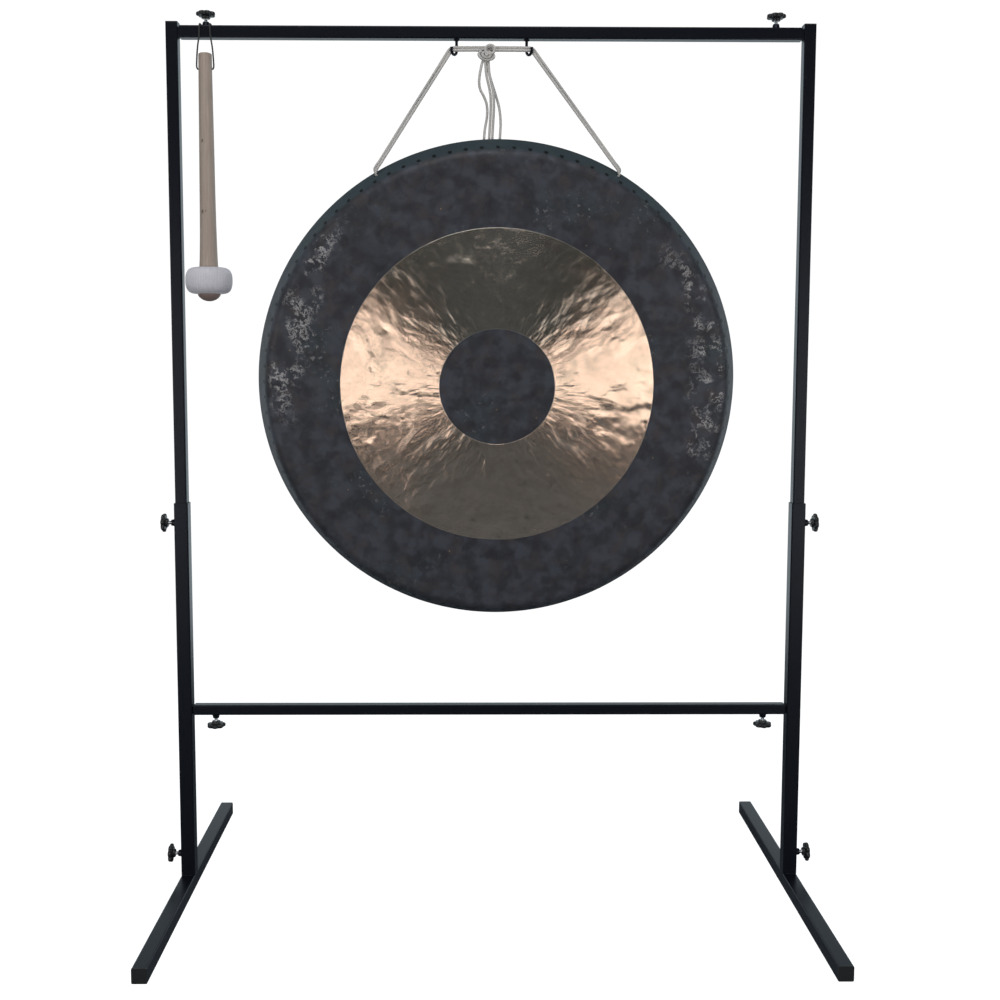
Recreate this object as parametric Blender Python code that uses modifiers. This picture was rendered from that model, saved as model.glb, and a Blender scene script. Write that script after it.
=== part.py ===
"""Tam-tam gong on a height-adjustable square-tube stand, with its hanging cord and its mallet.

The stand is a knock-down frame: two feet with welded posts, two outer uprights that slip over the
posts, two inner uprights that telescope in them, and two crossbars that slip over welded stubs.
Eight star-knob clamp screws hold it together.  The gong hangs from two J hooks by a cord through
two holes in its rim.  Sizes are in metres, +Z is up, -Y is the front that is struck, and the
origin is on the floor in the middle between the feet.
"""
from math import atan2, ceil, cos, pi, radians, sin, sqrt, tan

import bmesh
import bpy
from mathutils import Matrix, Vector

# ---- driving dimensions -------------------------------------------------------------------
GAP = 0.0003                    # between pieces that touch
UPRIGHT_X = 0.658               # centre of each upright from the middle
OUTER_TUBE = 0.030              # feet and outer uprights
INNER_TUBE = 0.025              # inner uprights and top crossbar
LOW_TUBE = 0.022                # lower crossbar
WALL = 0.0015                   # every tube's wall
CORNER = 0.0025                 # every tube's outer corner radius
FOOT_LENGTH = 0.816             # over the end caps
CAP_PLATE = 0.0025
CAP_PLUG = 0.012
POST_SIZE = 0.026               # welded on the foot, inside the outer upright
POST_HEIGHT = 0.120
SLEEVE_TOP = 0.848              # top of the outer upright
UPRIGHT_TOP = 1.845             # top of the inner upright's cap
INNER_BOTTOM = 0.548            # the inner upright reaches this far down in its sleeve
TOP_BAR_Z = 1.825
LOW_BAR_Z = 0.3976
TOP_BAR_HALF = 0.642
LOW_BAR_HALF = 0.639
STUB_END = 0.570                # the welded stubs reach inwards to here
TOP_STUB = 0.021
LOW_STUB = 0.018

CLAMP_X = 0.594                 # clamp screws of the lower crossbar
TOP_CLAMP_X = 0.589             # clamp screws of the top crossbar
HEIGHT_CLAMP_Z = 0.805
FOOT_CLAMP_Z = 0.075
NUT_HEIGHT = 0.008
NUT_BASE_R = 0.008
NUT_TOP_R = 0.0065
STUD_R = 0.0039
STUD_HOLE_R = 0.0044
HEAD_R = 0.020
HEAD_START = 0.015              # head's near face from the tube's face
HEAD_THICK = 0.0175
HEAD_BORE = 0.011
LOBES = 7
LOBE_DEPTH = 0.0028

HOOK_X = 0.0725
HOOK_ROD_R = 0.003
HOOK_BEND_R = 0.0085
HOOK_BEND_Z = 1.7894            # centre of the J's bend
HOOK_TIP_Z = 1.7950
HOOK_OUT = 0.6                  # the J points this much outwards and 0.8 forwards

CORD_R = 0.00275
CORD_PITCH = 0.0058             # between two strands side by side
SWING_Z = 1.780                 # the cord turns on the bottoms of the hooks
STRAND_BEND_R = 0.0085          # the lower strand's bend over its hook
LEG_OUT = 0.012                 # each leg hangs this far outside its hook's stem
END_GAP = 0.001                 # each cord's end stands this far from the swing's level
KNOT = Vector((-0.0097, -0.0068, 1.784))
KNOT_SIZE = (0.021, 0.013, 0.0173)

GONG_R = 0.512                  # rim's back edge
GONG_X = 0.013                  # it hangs a little to the right of the middle
GONG_Y = -0.0173                # middle of the face
GONG_Z = 1.0965
GONG_TILT = radians(4.7)        # the top leans forward, as the rim holes lie behind the mass
GONG_WALL = 0.003
FACE_R = 0.471                  # where the shoulder's curve begins
SHOULDER_R = 0.022
RIM_FLARE = radians(24)
RIM_DEPTH = 0.062
DISC_R = 0.1220                 # dark disc in the middle
RING_R = 0.3295                 # polished ring round it
FACE_CROWN = 0.006              # the middle stands this far in front of the shoulder
HOLE_R = 0.0053
HOLE_ANGLE = radians(30)        # each hole from the top
HOLE_DEPTH = 0.044              # behind the shoulder's face

MALLET_X = -0.589
MALLET_Y = -0.0148
HANDLE_TOP = 1.7795
HANDLE_BOTTOM = 1.3450
HANDLE_TOP_R = 0.0136
HANDLE_BOTTOM_R = 0.0193
CROSS_HOLE_Z = 1.7480
CROSS_HOLE_R = 0.0027
LOOP_SPREAD = 0.0120            # each strand of the loop from its middle, where it pivots
TENON_R = 0.012
HEAD_DRUM_R = 0.049
HEAD_TOP = 1.3444
HEAD_BOTTOM = 1.2894
HEAD_CORE_R = 0.040
FELT = 0.0045                   # cover above and below the core
FELT_FLAT_R = 0.0283            # the cover's top and bottom are flat out to here
END_R = 0.0235
END_BOTTOM = 1.2740
LOOP_R = 0.00175
LOOP_PIVOT_Z = TOP_BAR_Z - INNER_TUBE / 2
LOOP_SPLIT = 0.0011             # each part of the loop stops this far from its bend

# ---- finishes: base colour, roughness, metallic --------------------------------------------
FINISHES = {
    "powder_coat": ((0.012, 0.014, 0.018), 0.35, 0.0),
    "black_plastic": ((0.015, 0.015, 0.017), 0.45, 0.0),
    "steel": ((0.60, 0.60, 0.62), 0.28, 1.0),
    "bronze": ((0.055, 0.055, 0.062), 0.45, 1.0),
    "braid": ((0.62, 0.58, 0.52), 0.85, 0.0),
    "black_cord": ((0.015, 0.015, 0.015), 0.80, 0.0),
    "pale_wood": ((0.60, 0.44, 0.27), 0.55, 0.0),
    "felt": ((0.80, 0.80, 0.78), 0.95, 0.0),
}

for old in list(bpy.data.objects):
    bpy.data.objects.remove(old, do_unlink=True)
PARTS = bpy.data.collections.new("tam_tam_gong")
CUTTERS = bpy.data.collections.new("cutters")
for group in (PARTS, CUTTERS):
    bpy.context.scene.collection.children.link(group)


# ---- tools ----------------------------------------------------------------------------------
def new_object(name, data, finish=None):
    """An object for a part, with its own material, or for a cutter when no finish is given."""
    obj = bpy.data.objects.new(name, data)
    if finish is None:
        CUTTERS.objects.link(obj)
        obj.hide_render = True
        obj.display_type = "WIRE"
        return obj
    PARTS.objects.link(obj)
    colour, roughness, metallic = FINISHES[finish]
    material = bpy.data.materials.new(name)
    material.use_nodes = True
    shader = material.node_tree.nodes["Principled BSDF"]
    shader.inputs["Base Color"].default_value = (*colour, 1.0)
    shader.inputs["Roughness"].default_value = roughness
    shader.inputs["Metallic"].default_value = metallic
    data.materials.append(material)
    return obj


def mesh_from(bm, name):
    mesh = bpy.data.meshes.new(name)
    bm.to_mesh(mesh)
    bm.free()
    return mesh


def aim(obj, start, direction):
    """Put an object's origin at start and turn its local +Z to the direction."""
    obj.location = start
    obj.rotation_mode = "QUATERNION"
    obj.rotation_quaternion = Vector(direction).to_track_quat("Z", "Y")


def cut(obj, cutter, operation="DIFFERENCE"):
    step = obj.modifiers.new(cutter.name, "BOOLEAN")
    step.object = cutter
    step.operation = operation


def rod(name, radius, length, start, direction, finish=None, segments=24):
    """A round bar from start along direction."""
    bm = bmesh.new()
    bmesh.ops.create_cone(bm, cap_ends=True, segments=segments, radius1=radius, radius2=radius,
                          depth=length, matrix=Matrix.Translation((0, 0, length / 2)))
    obj = new_object(name, mesh_from(bm, name), finish)
    aim(obj, start, direction)
    return obj


def square_tube(name, size, length, start, direction, finish="powder_coat"):
    """An open-ended square tube with rounded corners, from start along direction."""
    bm = bmesh.new()
    box = Matrix.Translation((0, 0, length / 2)) @ Matrix.Diagonal((size, size, length, 1))
    bmesh.ops.create_cube(bm, size=1, matrix=box)
    ends = [face for face in bm.faces if abs(face.normal.z) > 0.5]
    bmesh.ops.delete(bm, geom=ends, context="FACES_ONLY")
    corners = [edge for edge in bm.edges if abs(edge.verts[0].co.z - edge.verts[1].co.z) > length / 2]
    bmesh.ops.bevel(bm, geom=corners, offset=CORNER, segments=3, affect="EDGES", profile=0.5)
    obj = new_object(name, mesh_from(bm, name), finish)
    wall = obj.modifiers.new("wall", "SOLIDIFY")
    wall.thickness = WALL
    wall.offset = -1
    wall.use_even_offset = True
    aim(obj, start, direction)
    return obj


def tube_cap(name, size, start, direction):
    """A plastic end cap: a plate over the tube's end and a plug inside its bore."""
    bm = bmesh.new()
    plate = Matrix.Translation((0, 0, CAP_PLATE / 2)) @ Matrix.Diagonal((size, size, CAP_PLATE, 1))
    bmesh.ops.create_cube(bm, size=1, matrix=plate)
    upright_edges = [edge for edge in bm.edges if abs(edge.verts[0].co.z - edge.verts[1].co.z) > CAP_PLATE / 2]
    bmesh.ops.bevel(bm, geom=upright_edges, offset=CORNER, segments=3, affect="EDGES", profile=0.5)
    inner = [face for face in bm.faces if face.normal.z < -0.5]
    bmesh.ops.inset_region(bm, faces=inner, thickness=WALL + 2 * GAP)
    plug = bmesh.ops.extrude_discrete_faces(bm, faces=inner)["faces"]
    for face in plug:
        for vert in face.verts:
            vert.co.z = -CAP_PLUG
    obj = new_object(name, mesh_from(bm, name), "black_plastic")
    aim(obj, start, direction)
    return obj


def turned(name, outline, finish, steps=32):
    """A solid turned round local Z from (radius, height) points, listed down the outer side."""
    bm = bmesh.new()
    verts = [bm.verts.new((radius, 0, height)) for radius, height in outline]
    for a, b in zip(verts, verts[1:]):
        bm.edges.new((a, b))
    if outline[0][0] > 1e-6:
        bm.edges.new((verts[-1], verts[0]))
    obj = new_object(name, mesh_from(bm, name), finish)
    spin = obj.modifiers.new("turn", "SCREW")
    spin.steps = steps
    spin.render_steps = steps
    spin.use_merge_vertices = True
    spin.merge_threshold = 0.00001
    return obj


def smooth_route(points, step=0.0022, turn=radians(9), longest=0.024):
    """Points read from a Catmull-Rom curve through the route, closer together where it bends."""
    route = [Vector(p) for p in points]
    padded = [2 * route[0] - route[1]] + route + [2 * route[-1] - route[-2]]
    fine = []
    for i in range(1, len(padded) - 2):
        p0, p1, p2, p3 = padded[i - 1:i + 3]
        t0 = 0.0
        t1 = t0 + (p1 - p0).length ** 0.5
        t2 = t1 + (p2 - p1).length ** 0.5
        t3 = t2 + (p3 - p2).length ** 0.5
        count = max(2, ceil((p2 - p1).length / step))
        for k in range(count):
            t = t1 + (t2 - t1) * k / count
            a1 = p0 * ((t1 - t) / (t1 - t0)) + p1 * ((t - t0) / (t1 - t0))
            a2 = p1 * ((t2 - t) / (t2 - t1)) + p2 * ((t - t1) / (t2 - t1))
            a3 = p2 * ((t3 - t) / (t3 - t2)) + p3 * ((t - t2) / (t3 - t2))
            b1 = a1 * ((t2 - t) / (t2 - t0)) + a2 * ((t - t0) / (t2 - t0))
            b2 = a2 * ((t3 - t) / (t3 - t1)) + a3 * ((t - t1) / (t3 - t1))
            fine.append(b1 * ((t2 - t) / (t2 - t1)) + b2 * ((t - t1) / (t2 - t1)))
    fine.append(route[-1])
    kept = [fine[0]]
    heading = fine[1] - fine[0]
    for here, after in zip(fine[1:], fine[2:]):
        if heading.angle(after - here) > turn or (here - kept[-1]).length > longest:
            kept.append(here)
            heading = after - here
    return kept + [fine[-1]]


def cord(name, points, radius, finish, thick=None):
    """A round cord or rod with filled ends along a smooth route; thick scales chosen points."""
    data = bpy.data.curves.new(name, "CURVE")
    data.dimensions = "3D"
    data.bevel_depth = radius
    data.bevel_resolution = 2
    data.use_fill_caps = True
    spline = data.splines.new("POLY")
    spline.points.add(len(points) - 1)
    for i, (dot, place) in enumerate(zip(spline.points, points)):
        dot.co = (*place, 1)
        dot.radius = 1.0 if thick is None else thick[i]
    return new_object(name, data, finish)


def meshed(curve_object):
    """The same tube as a closed mesh, so that a Boolean can join it."""
    ready = curve_object.evaluated_get(bpy.context.evaluated_depsgraph_get())
    mesh = bpy.data.meshes.new_from_object(ready)
    bm = bmesh.new()
    bm.from_mesh(mesh)
    bmesh.ops.remove_doubles(bm, verts=bm.verts, dist=0.00001)
    bm.to_mesh(mesh)
    bm.free()
    name = curve_object.name
    place = curve_object.matrix_world.copy()
    bpy.data.objects.remove(curve_object, do_unlink=True)
    obj = new_object(name, mesh)
    obj.matrix_world = place
    return obj


def axis_at(name, place, parent=None):
    """An empty on a joint's axis, which carries the pieces that move with it."""
    empty = bpy.data.objects.new(name, None)
    PARTS.objects.link(empty)
    empty.location = place
    bpy.context.view_layer.update()
    if parent:
        carry(parent, empty)
    return empty


def carry(empty, *pieces):
    """Parent pieces to an empty and keep them where they are."""
    bpy.context.view_layer.update()
    for piece in pieces:
        piece.parent = empty
        piece.matrix_parent_inverse = empty.matrix_world.inverted()


# ---- joint axes -------------------------------------------------------------------------------
X, Y, Z = Vector((1, 0, 0)), Vector((0, 1, 0)), Vector((0, 0, 1))
CORD_Y = KNOT.y
back_axis = Vector((0, cos(GONG_TILT), sin(GONG_TILT)))     # the gong's axis, pointing backwards
up_axis = Vector((0, -sin(GONG_TILT), cos(GONG_TILT)))      # up in the plane of its face
gong_centre = Vector((GONG_X, GONG_Y, GONG_Z))
shoulder_end_r = FACE_R + SHOULDER_R * cos(RIM_FLARE)
shoulder_end_depth = SHOULDER_R * (1 - sin(RIM_FLARE))
hole_r_from_axis = shoulder_end_r + (HOLE_DEPTH - shoulder_end_depth) * tan(RIM_FLARE)


def rim_frame(side):
    """Middle of a rim hole, the rim's outward normal and its slope towards the back edge."""
    radial = side * sin(HOLE_ANGLE) * X + cos(HOLE_ANGLE) * up_axis
    normal = cos(RIM_FLARE) * radial - sin(RIM_FLARE) * back_axis
    slope = sin(RIM_FLARE) * radial + cos(RIM_FLARE) * back_axis
    surface = gong_centre + hole_r_from_axis * radial + HOLE_DEPTH * back_axis
    return surface - normal * GONG_WALL / 2, normal, slope


hole_line = rim_frame(1)[0]
height_axis = axis_at("height_axis", (0, 0, SLEEVE_TOP))
swing_axis = axis_at("swing_axis", (0, CORD_Y, SWING_Z), height_axis)
rock_axis = axis_at("rock_axis", (GONG_X, hole_line.y, hole_line.z), swing_axis)
loop_axis = axis_at("loop_axis", (MALLET_X, MALLET_Y, LOOP_PIVOT_Z), height_axis)
mallet_axis = axis_at("mallet_axis", (MALLET_X, MALLET_Y, CROSS_HOLE_Z), loop_axis)


# ---- clamp screws: weld nut, stud and star head -------------------------------------------------
def star_head(name, start, direction):
    """A lobed plastic head with a blind bore for its stud."""
    bm = bmesh.new()
    bmesh.ops.create_cone(bm, cap_ends=True, segments=LOBES * 5, radius1=HEAD_R, radius2=HEAD_R,
                          depth=HEAD_THICK, matrix=Matrix.Translation((0, 0, HEAD_THICK / 2)))
    for vert in bm.verts:
        angle = atan2(vert.co.y, vert.co.x)
        radius = HEAD_R - LOBE_DEPTH * (1 - cos(LOBES * angle)) / 2
        vert.co.x = radius * cos(angle)
        vert.co.y = radius * sin(angle)
    rims = [edge for edge in bm.edges if abs(edge.verts[0].co.z - edge.verts[1].co.z) < 1e-6]
    bmesh.ops.bevel(bm, geom=rims, offset=0.003, segments=1, affect="EDGES", profile=0.5)
    head = new_object(name, mesh_from(bm, name), "black_plastic")
    aim(head, start, direction)
    bore = rod(name + "_bore", STUD_R + GAP, 2 * HEAD_BORE, start - direction * HEAD_BORE, direction)
    cut(head, bore)
    return head


def clamp(name, face, direction, reach, parent=None):
    """A clamp screw on a tube's face; reach is how far its stud goes in past that face."""
    nut = turned(name + "_nut", [(NUT_TOP_R, NUT_HEIGHT), (NUT_BASE_R, 0), (STUD_HOLE_R, 0),
                                 (STUD_HOLE_R, NUT_HEIGHT)], "powder_coat", 24)
    aim(nut, face + direction * GAP, direction)
    end = HEAD_START + HEAD_BORE - 2 * GAP
    stud = rod(name + "_stud", STUD_R, reach + end, face - direction * reach, direction, "steel")
    head = star_head(name + "_head", face + direction * HEAD_START, direction)
    hole = rod(name + "_hole", STUD_HOLE_R, 0.006, face - direction * 0.004, direction)
    carry(stud, head)
    if parent:
        carry(parent, nut, stud)
    return hole


# ---- feet, outer uprights and lower crossbar ------------------------------------------------------
low_bar = square_tube("lower_crossbar", LOW_TUBE, 2 * LOW_BAR_HALF, (-LOW_BAR_HALF, 0, LOW_BAR_Z), X)
top_bar = square_tube("top_crossbar", INNER_TUBE, 2 * TOP_BAR_HALF, (-TOP_BAR_HALF, 0, TOP_BAR_Z), X)
carry(height_axis, top_bar)
half = OUTER_TUBE / 2
for side, word in ((-1, "left"), (1, "right")):
    x = side * UPRIGHT_X
    tube_length = FOOT_LENGTH - 2 * CAP_PLATE - 2 * GAP
    square_tube(f"{word}_foot", OUTER_TUBE, tube_length, (x, -tube_length / 2, half), Y)
    for sign, end in ((-1, "front"), (1, "rear")):
        tube_cap(f"{word}_foot_{end}_cap", OUTER_TUBE,
                 (x, sign * (tube_length / 2 + GAP), half), sign * Y)
    square_tube(f"{word}_foot_post", POST_SIZE, POST_HEIGHT, (x, 0, OUTER_TUBE + GAP), Z)
    sleeve = square_tube(f"{word}_outer_upright", OUTER_TUBE, SLEEVE_TOP - OUTER_TUBE - GAP,
                         (x, 0, OUTER_TUBE + GAP), Z)
    inner = square_tube(f"{word}_inner_upright", INNER_TUBE, UPRIGHT_TOP - CAP_PLATE - GAP - INNER_BOTTOM,
                        (x, 0, INNER_BOTTOM), Z)
    top_cap = tube_cap(f"{word}_upright_cap", INNER_TUBE, (x, 0, UPRIGHT_TOP - CAP_PLATE), Z)
    low_face = UPRIGHT_X - half - GAP
    square_tube(f"{word}_lower_stub", LOW_STUB, low_face - STUB_END, (side * STUB_END, 0, LOW_BAR_Z), side * X)
    top_face = UPRIGHT_X - INNER_TUBE / 2 - GAP
    top_stub = square_tube(f"{word}_top_stub", TOP_STUB, top_face - STUB_END,
                           (side * STUB_END, 0, TOP_BAR_Z), side * X)
    carry(height_axis, inner, top_cap, top_stub)

    outer_face = side * (UPRIGHT_X + half) * X
    to_inner = (OUTER_TUBE - INNER_TUBE) / 2 - GAP
    to_post = (OUTER_TUBE - POST_SIZE) / 2 - GAP
    cut(sleeve, clamp(f"{word}_height_clamp", outer_face + HEIGHT_CLAMP_Z * Z, side * X, to_inner))
    cut(sleeve, clamp(f"{word}_foot_clamp", outer_face + FOOT_CLAMP_Z * Z, side * X, to_post))
    low_spot = side * CLAMP_X * X + (LOW_BAR_Z - LOW_TUBE / 2) * Z
    cut(low_bar, clamp(f"{word}_lower_clamp", low_spot, -Z, (LOW_TUBE - LOW_STUB) / 2 - GAP))
    top_spot = side * TOP_CLAMP_X * X + (TOP_BAR_Z + INNER_TUBE / 2) * Z
    cut(top_bar, clamp(f"{word}_top_clamp", top_spot, Z, (INNER_TUBE - TOP_STUB) / 2 - GAP, height_axis))

# ---- J hooks under the top crossbar ---------------------------------------------------------------
HOOK_FORWARD = -sqrt(1 - HOOK_OUT ** 2)
stem_top = TOP_BAR_Z - INNER_TUBE / 2 - GAP
for side, word in ((-1, "left"), (1, "right")):
    reach = Vector((side * HOOK_OUT, HOOK_FORWARD, 0))
    stem = Vector((side * HOOK_X, 0, 0))
    route = [stem + stem_top * Z, stem + (stem_top - 0.0035) * Z]
    bend = 10
    for k in range(bend + 1):
        angle = pi * k / bend
        route.append(stem + reach * HOOK_BEND_R * (1 - cos(angle)) + Z * (HOOK_BEND_Z - HOOK_BEND_R * sin(angle)))
    route.append(stem + reach * 2 * HOOK_BEND_R + Z * HOOK_TIP_Z)
    flare = [1.7] + [1.0] * (len(route) - 1)
    carry(height_axis, cord(f"{word}_hook", route, HOOK_ROD_R, "powder_coat", flare))

# ---- gong -------------------------------------------------------------------------------------------


def crown(radius):
    """How far the face stands in front of the shoulder: a shallow bowl, flatter over the disc."""
    return FACE_CROWN * (1 - (radius / FACE_R) ** 2)


outer = [(r, crown(r)) for r in (0, DISC_R, RING_R, FACE_R)]
for k in range(1, 5):
    angle = (pi / 2 - RIM_FLARE) * k / 4
    outer.append((FACE_R + SHOULDER_R * sin(angle), -SHOULDER_R * (1 - cos(angle))))
outer.append((GONG_R, -RIM_DEPTH))
inside = []
for here, after in zip(outer, outer[1:]):
    run = Vector((after[0] - here[0], after[1] - here[1])).normalized()
    inside.append((here[0] + run.y * GONG_WALL, here[1] - run.x * GONG_WALL))
inside.append((GONG_R - cos(RIM_FLARE) * GONG_WALL, -RIM_DEPTH - sin(RIM_FLARE) * GONG_WALL))
inside[0] = (0, FACE_CROWN - GONG_WALL)
gong = turned("gong", outer + inside[::-1], "bronze", 72)
gong.matrix_world = Matrix.Translation(gong_centre) @ Matrix.Rotation(pi / 2 + GONG_TILT, 4, "X")
for side, word in ((-1, "left"), (1, "right")):
    hole, normal, slope = rim_frame(side)
    cut(gong, rod(f"{word}_rim_hole", HOLE_R, 0.02, hole - normal * 0.01, normal))
carry(rock_axis, gong)


# ---- hanging cord -------------------------------------------------------------------------------------
def leg_heading(side):
    """Direction of a leg from the gong's rim hole up to its hook, in the plane of the hooks."""
    hole = rim_frame(side)[0]
    return Vector((side * (HOOK_X + LEG_OUT) - hole.x, 0, SWING_Z - hole.z)).normalized()


def over_hook(side, radius):
    """The strand's bend over the hook's bottom, from level to the leg's direction."""
    away = leg_heading(side)
    middle = Vector((side * (HOOK_X + HOOK_OUT * HOOK_BEND_R), CORD_Y, HOOK_BEND_Z - HOOK_BEND_R))
    last = atan2(abs(away.x), away.z) - pi / 2
    bend = []
    for k in range(5):
        angle = pi / 2 + last * k / 4
        bend.append(middle + radius * (side * cos(angle) * X + sin(angle) * Z))
    foot = bend[-1] - away * (bend[-1].z - SWING_Z) / away.z
    return bend, foot


strands = []
for row, radius in (("lower", STRAND_BEND_R), ("upper", STRAND_BEND_R + CORD_PITCH)):
    left_bend, left_foot = over_hook(-1, radius)
    right_bend, right_foot = over_hook(1, radius)
    left_end = left_foot + leg_heading(-1) * END_GAP
    right_end = right_foot + leg_heading(1) * END_GAP
    route = [left_end] + left_bend[::-1] + right_bend + [right_end]
    strands.append(cord(f"{row}_strand", smooth_route(route), CORD_R, None))
bm = bmesh.new()
bmesh.ops.create_uvsphere(bm, u_segments=20, v_segments=12, radius=1, matrix=Matrix.Diagonal((*KNOT_SIZE, 1)))
run = new_object("cord_run_and_knot", mesh_from(bm, "cord_run_and_knot"), "braid")
run.location = KNOT
for strand in strands:
    cut(run, meshed(strand), "UNION")
carry(height_axis, run)

# Each leg runs down to its rim hole, through it, round the rim's back edge and up again.  These
# places round the rim are measured from the hole along the rim's normal, its slope and the leg.
ROUND_RIM = [(0.0038, 0, 0.0008), (0, 0, 0), (-0.0035, 0.0004, 0), (-0.0070, 0.0045, 0),
             (-0.0078, 0.0110, 0), (-0.0070, 0.0190, 0), (-0.0020, 0.0258, 0), (0.0040, 0.0268, 0.0030)]
HOLE_MOUTH = (0.0072, 0, 0.0075)
for side, word in ((-1, "left"), (1, "right")):
    hole, normal, slope = rim_frame(side)
    away = leg_heading(side)
    front_foot = over_hook(side, STRAND_BEND_R)[1] - away * END_GAP
    rear_foot = over_hook(side, STRAND_BEND_R + CORD_PITCH)[1] - away * END_GAP
    mouth, *round_rim = [hole + normal * a + slope * b + away * c for a, b, c in [HOLE_MOUTH] + ROUND_RIM]
    route = [front_foot.lerp(mouth, share) for share in (0, 0.25, 0.5, 0.75, 0.93, 1)] + round_rim
    route += [route[-1].lerp(rear_foot, share) for share in (0.07, 0.25, 0.5, 0.75, 1)]
    carry(swing_axis, cord(f"{word}_cord_leg", smooth_route(route), CORD_R, "braid"))

# The four loose ends of the cord hang from the knot and pass behind the gong's top edge.
TAIL_ROUTES = {
    "outer_left_tail": [
        (-0.0190, -0.0070, 1.7660), (-0.0222, -0.0066, 1.7530), (-0.0245, -0.0056, 1.7410),
        (-0.0257, -0.0034, 1.7250), (-0.0232, -0.0008, 1.7120), (-0.0160, 0.0030, 1.6990),
        (-0.0108, 0.0066, 1.6870), (-0.0086, 0.0104, 1.6740), (-0.0088, 0.0138, 1.6610),
        (-0.0108, 0.0170, 1.6480), (-0.0132, 0.0190, 1.6350), (-0.0146, 0.0200, 1.6200),
        (-0.0150, 0.0204, 1.6020), (-0.0146, 0.0204, 1.5840), (-0.0136, 0.0200, 1.5640),
        (-0.0128, 0.0194, 1.5420)],
    "inner_left_tail": [
        (-0.0126, -0.0080, 1.7656), (-0.0122, -0.0078, 1.7530), (-0.0108, -0.0068, 1.7410),
        (-0.0080, -0.0050, 1.7280), (-0.0046, -0.0026, 1.7150), (-0.0020, 0.0006, 1.7000),
        (-0.0012, 0.0044, 1.6840), (-0.0014, 0.0084, 1.6680), (-0.0022, 0.0124, 1.6520),
        (-0.0032, 0.0162, 1.6340), (-0.0044, 0.0192, 1.6140), (-0.0052, 0.0206, 1.5940),
        (-0.0056, 0.0210, 1.5740), (-0.0054, 0.0208, 1.5520), (-0.0048, 0.0204, 1.5300)],
    "inner_right_tail": [
        (-0.0064, -0.0080, 1.7656), (-0.0058, -0.0078, 1.7530), (-0.0042, -0.0070, 1.7410),
        (-0.0014, -0.0052, 1.7280), (0.0020, -0.0028, 1.7150), (0.0044, 0.0004, 1.7000),
        (0.0052, 0.0042, 1.6840), (0.0050, 0.0082, 1.6680), (0.0042, 0.0122, 1.6520),
        (0.0032, 0.0160, 1.6340), (0.0022, 0.0190, 1.6140), (0.0016, 0.0204, 1.5940),
        (0.0016, 0.0208, 1.5740), (0.0022, 0.0208, 1.5540), (0.0030, 0.0204, 1.5360)],
    "outer_right_tail": [
        (-0.0090, -0.0006, 1.7662), (-0.0072, 0.0002, 1.7530), (-0.0036, 0.0014, 1.7400),
        (0.0006, 0.0032, 1.7270), (0.0054, 0.0058, 1.7130), (0.0102, 0.0088, 1.6990),
        (0.0146, 0.0118, 1.6850), (0.0176, 0.0146, 1.6710), (0.0192, 0.0168, 1.6570),
        (0.0196, 0.0186, 1.6430), (0.0190, 0.0198, 1.6280), (0.0178, 0.0206, 1.6100),
        (0.0166, 0.0210, 1.5900), (0.0156, 0.0210, 1.5700), (0.0150, 0.0206, 1.5500)],
}
for name, route in TAIL_ROUTES.items():
    carry(swing_axis, cord(name, smooth_route(route), CORD_R, "braid"))

# ---- mallet and its loop -----------------------------------------------------------------------------------
handle = turned("mallet_handle", [
    (0, HANDLE_TOP), (HANDLE_TOP_R - 0.003, HANDLE_TOP), (HANDLE_TOP_R - 0.0009, HANDLE_TOP - 0.0009),
    (HANDLE_TOP_R, HANDLE_TOP - 0.003), (HANDLE_BOTTOM_R, HANDLE_BOTTOM), (TENON_R, HANDLE_BOTTOM),
    (TENON_R, HEAD_BOTTOM + GAP), (0, HEAD_BOTTOM + GAP)], "pale_wood", 40)
head_middle = (HEAD_TOP + HEAD_BOTTOM) / 2
head_half = (HEAD_TOP - HEAD_BOTTOM) / 2
drum = []
for k in range(9):
    angle = pi / 2 - pi * k / 8
    bulge = abs(cos(angle)) ** 0.55
    drum.append((FELT_FLAT_R + (HEAD_DRUM_R - FELT_FLAT_R) * bulge,
                 head_middle + head_half * abs(sin(angle)) ** 0.8 * (1 if angle > 0 else -1)))
cavity_top = HEAD_TOP - FELT
cavity_bottom = HEAD_BOTTOM + FELT
bore = TENON_R + GAP
core_hole_r = HEAD_CORE_R + GAP
cover = turned("mallet_head_cover", [(bore, HEAD_TOP)] + drum + [
    (bore, HEAD_BOTTOM), (bore, cavity_bottom), (core_hole_r, cavity_bottom),
    (core_hole_r, cavity_top), (bore, cavity_top)], "felt", 32)
core = turned("mallet_head_core", [(HEAD_CORE_R, cavity_top - GAP), (HEAD_CORE_R, cavity_bottom + GAP),
                                   (bore, cavity_bottom + GAP), (bore, cavity_top - GAP)], "pale_wood", 36)
end_height = HEAD_BOTTOM - GAP - END_BOTTOM
dome = [(0, HEAD_BOTTOM - GAP), (END_R - 0.001, HEAD_BOTTOM - GAP), (END_R, HEAD_BOTTOM - GAP - 0.001)]
for k in range(1, 7):
    angle = pi / 2 * k / 6
    dome.append((END_R * cos(angle) ** 0.8, HEAD_BOTTOM - GAP - 0.001 - (end_height - 0.001) * sin(angle) ** 1.3))
dome[-1] = (0, END_BOTTOM)
end_cap = turned("mallet_end_cap", dome, "pale_wood", 32)
for piece in (handle, cover, core, end_cap):
    piece.location = (MALLET_X, MALLET_Y, 0)
cut(handle, rod("mallet_cross_hole", CROSS_HOLE_R, 0.05,
                Vector((MALLET_X - 0.025, MALLET_Y, CROSS_HOLE_Z)), X, segments=16))
carry(mallet_axis, handle, cover, core, end_cap)

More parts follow.
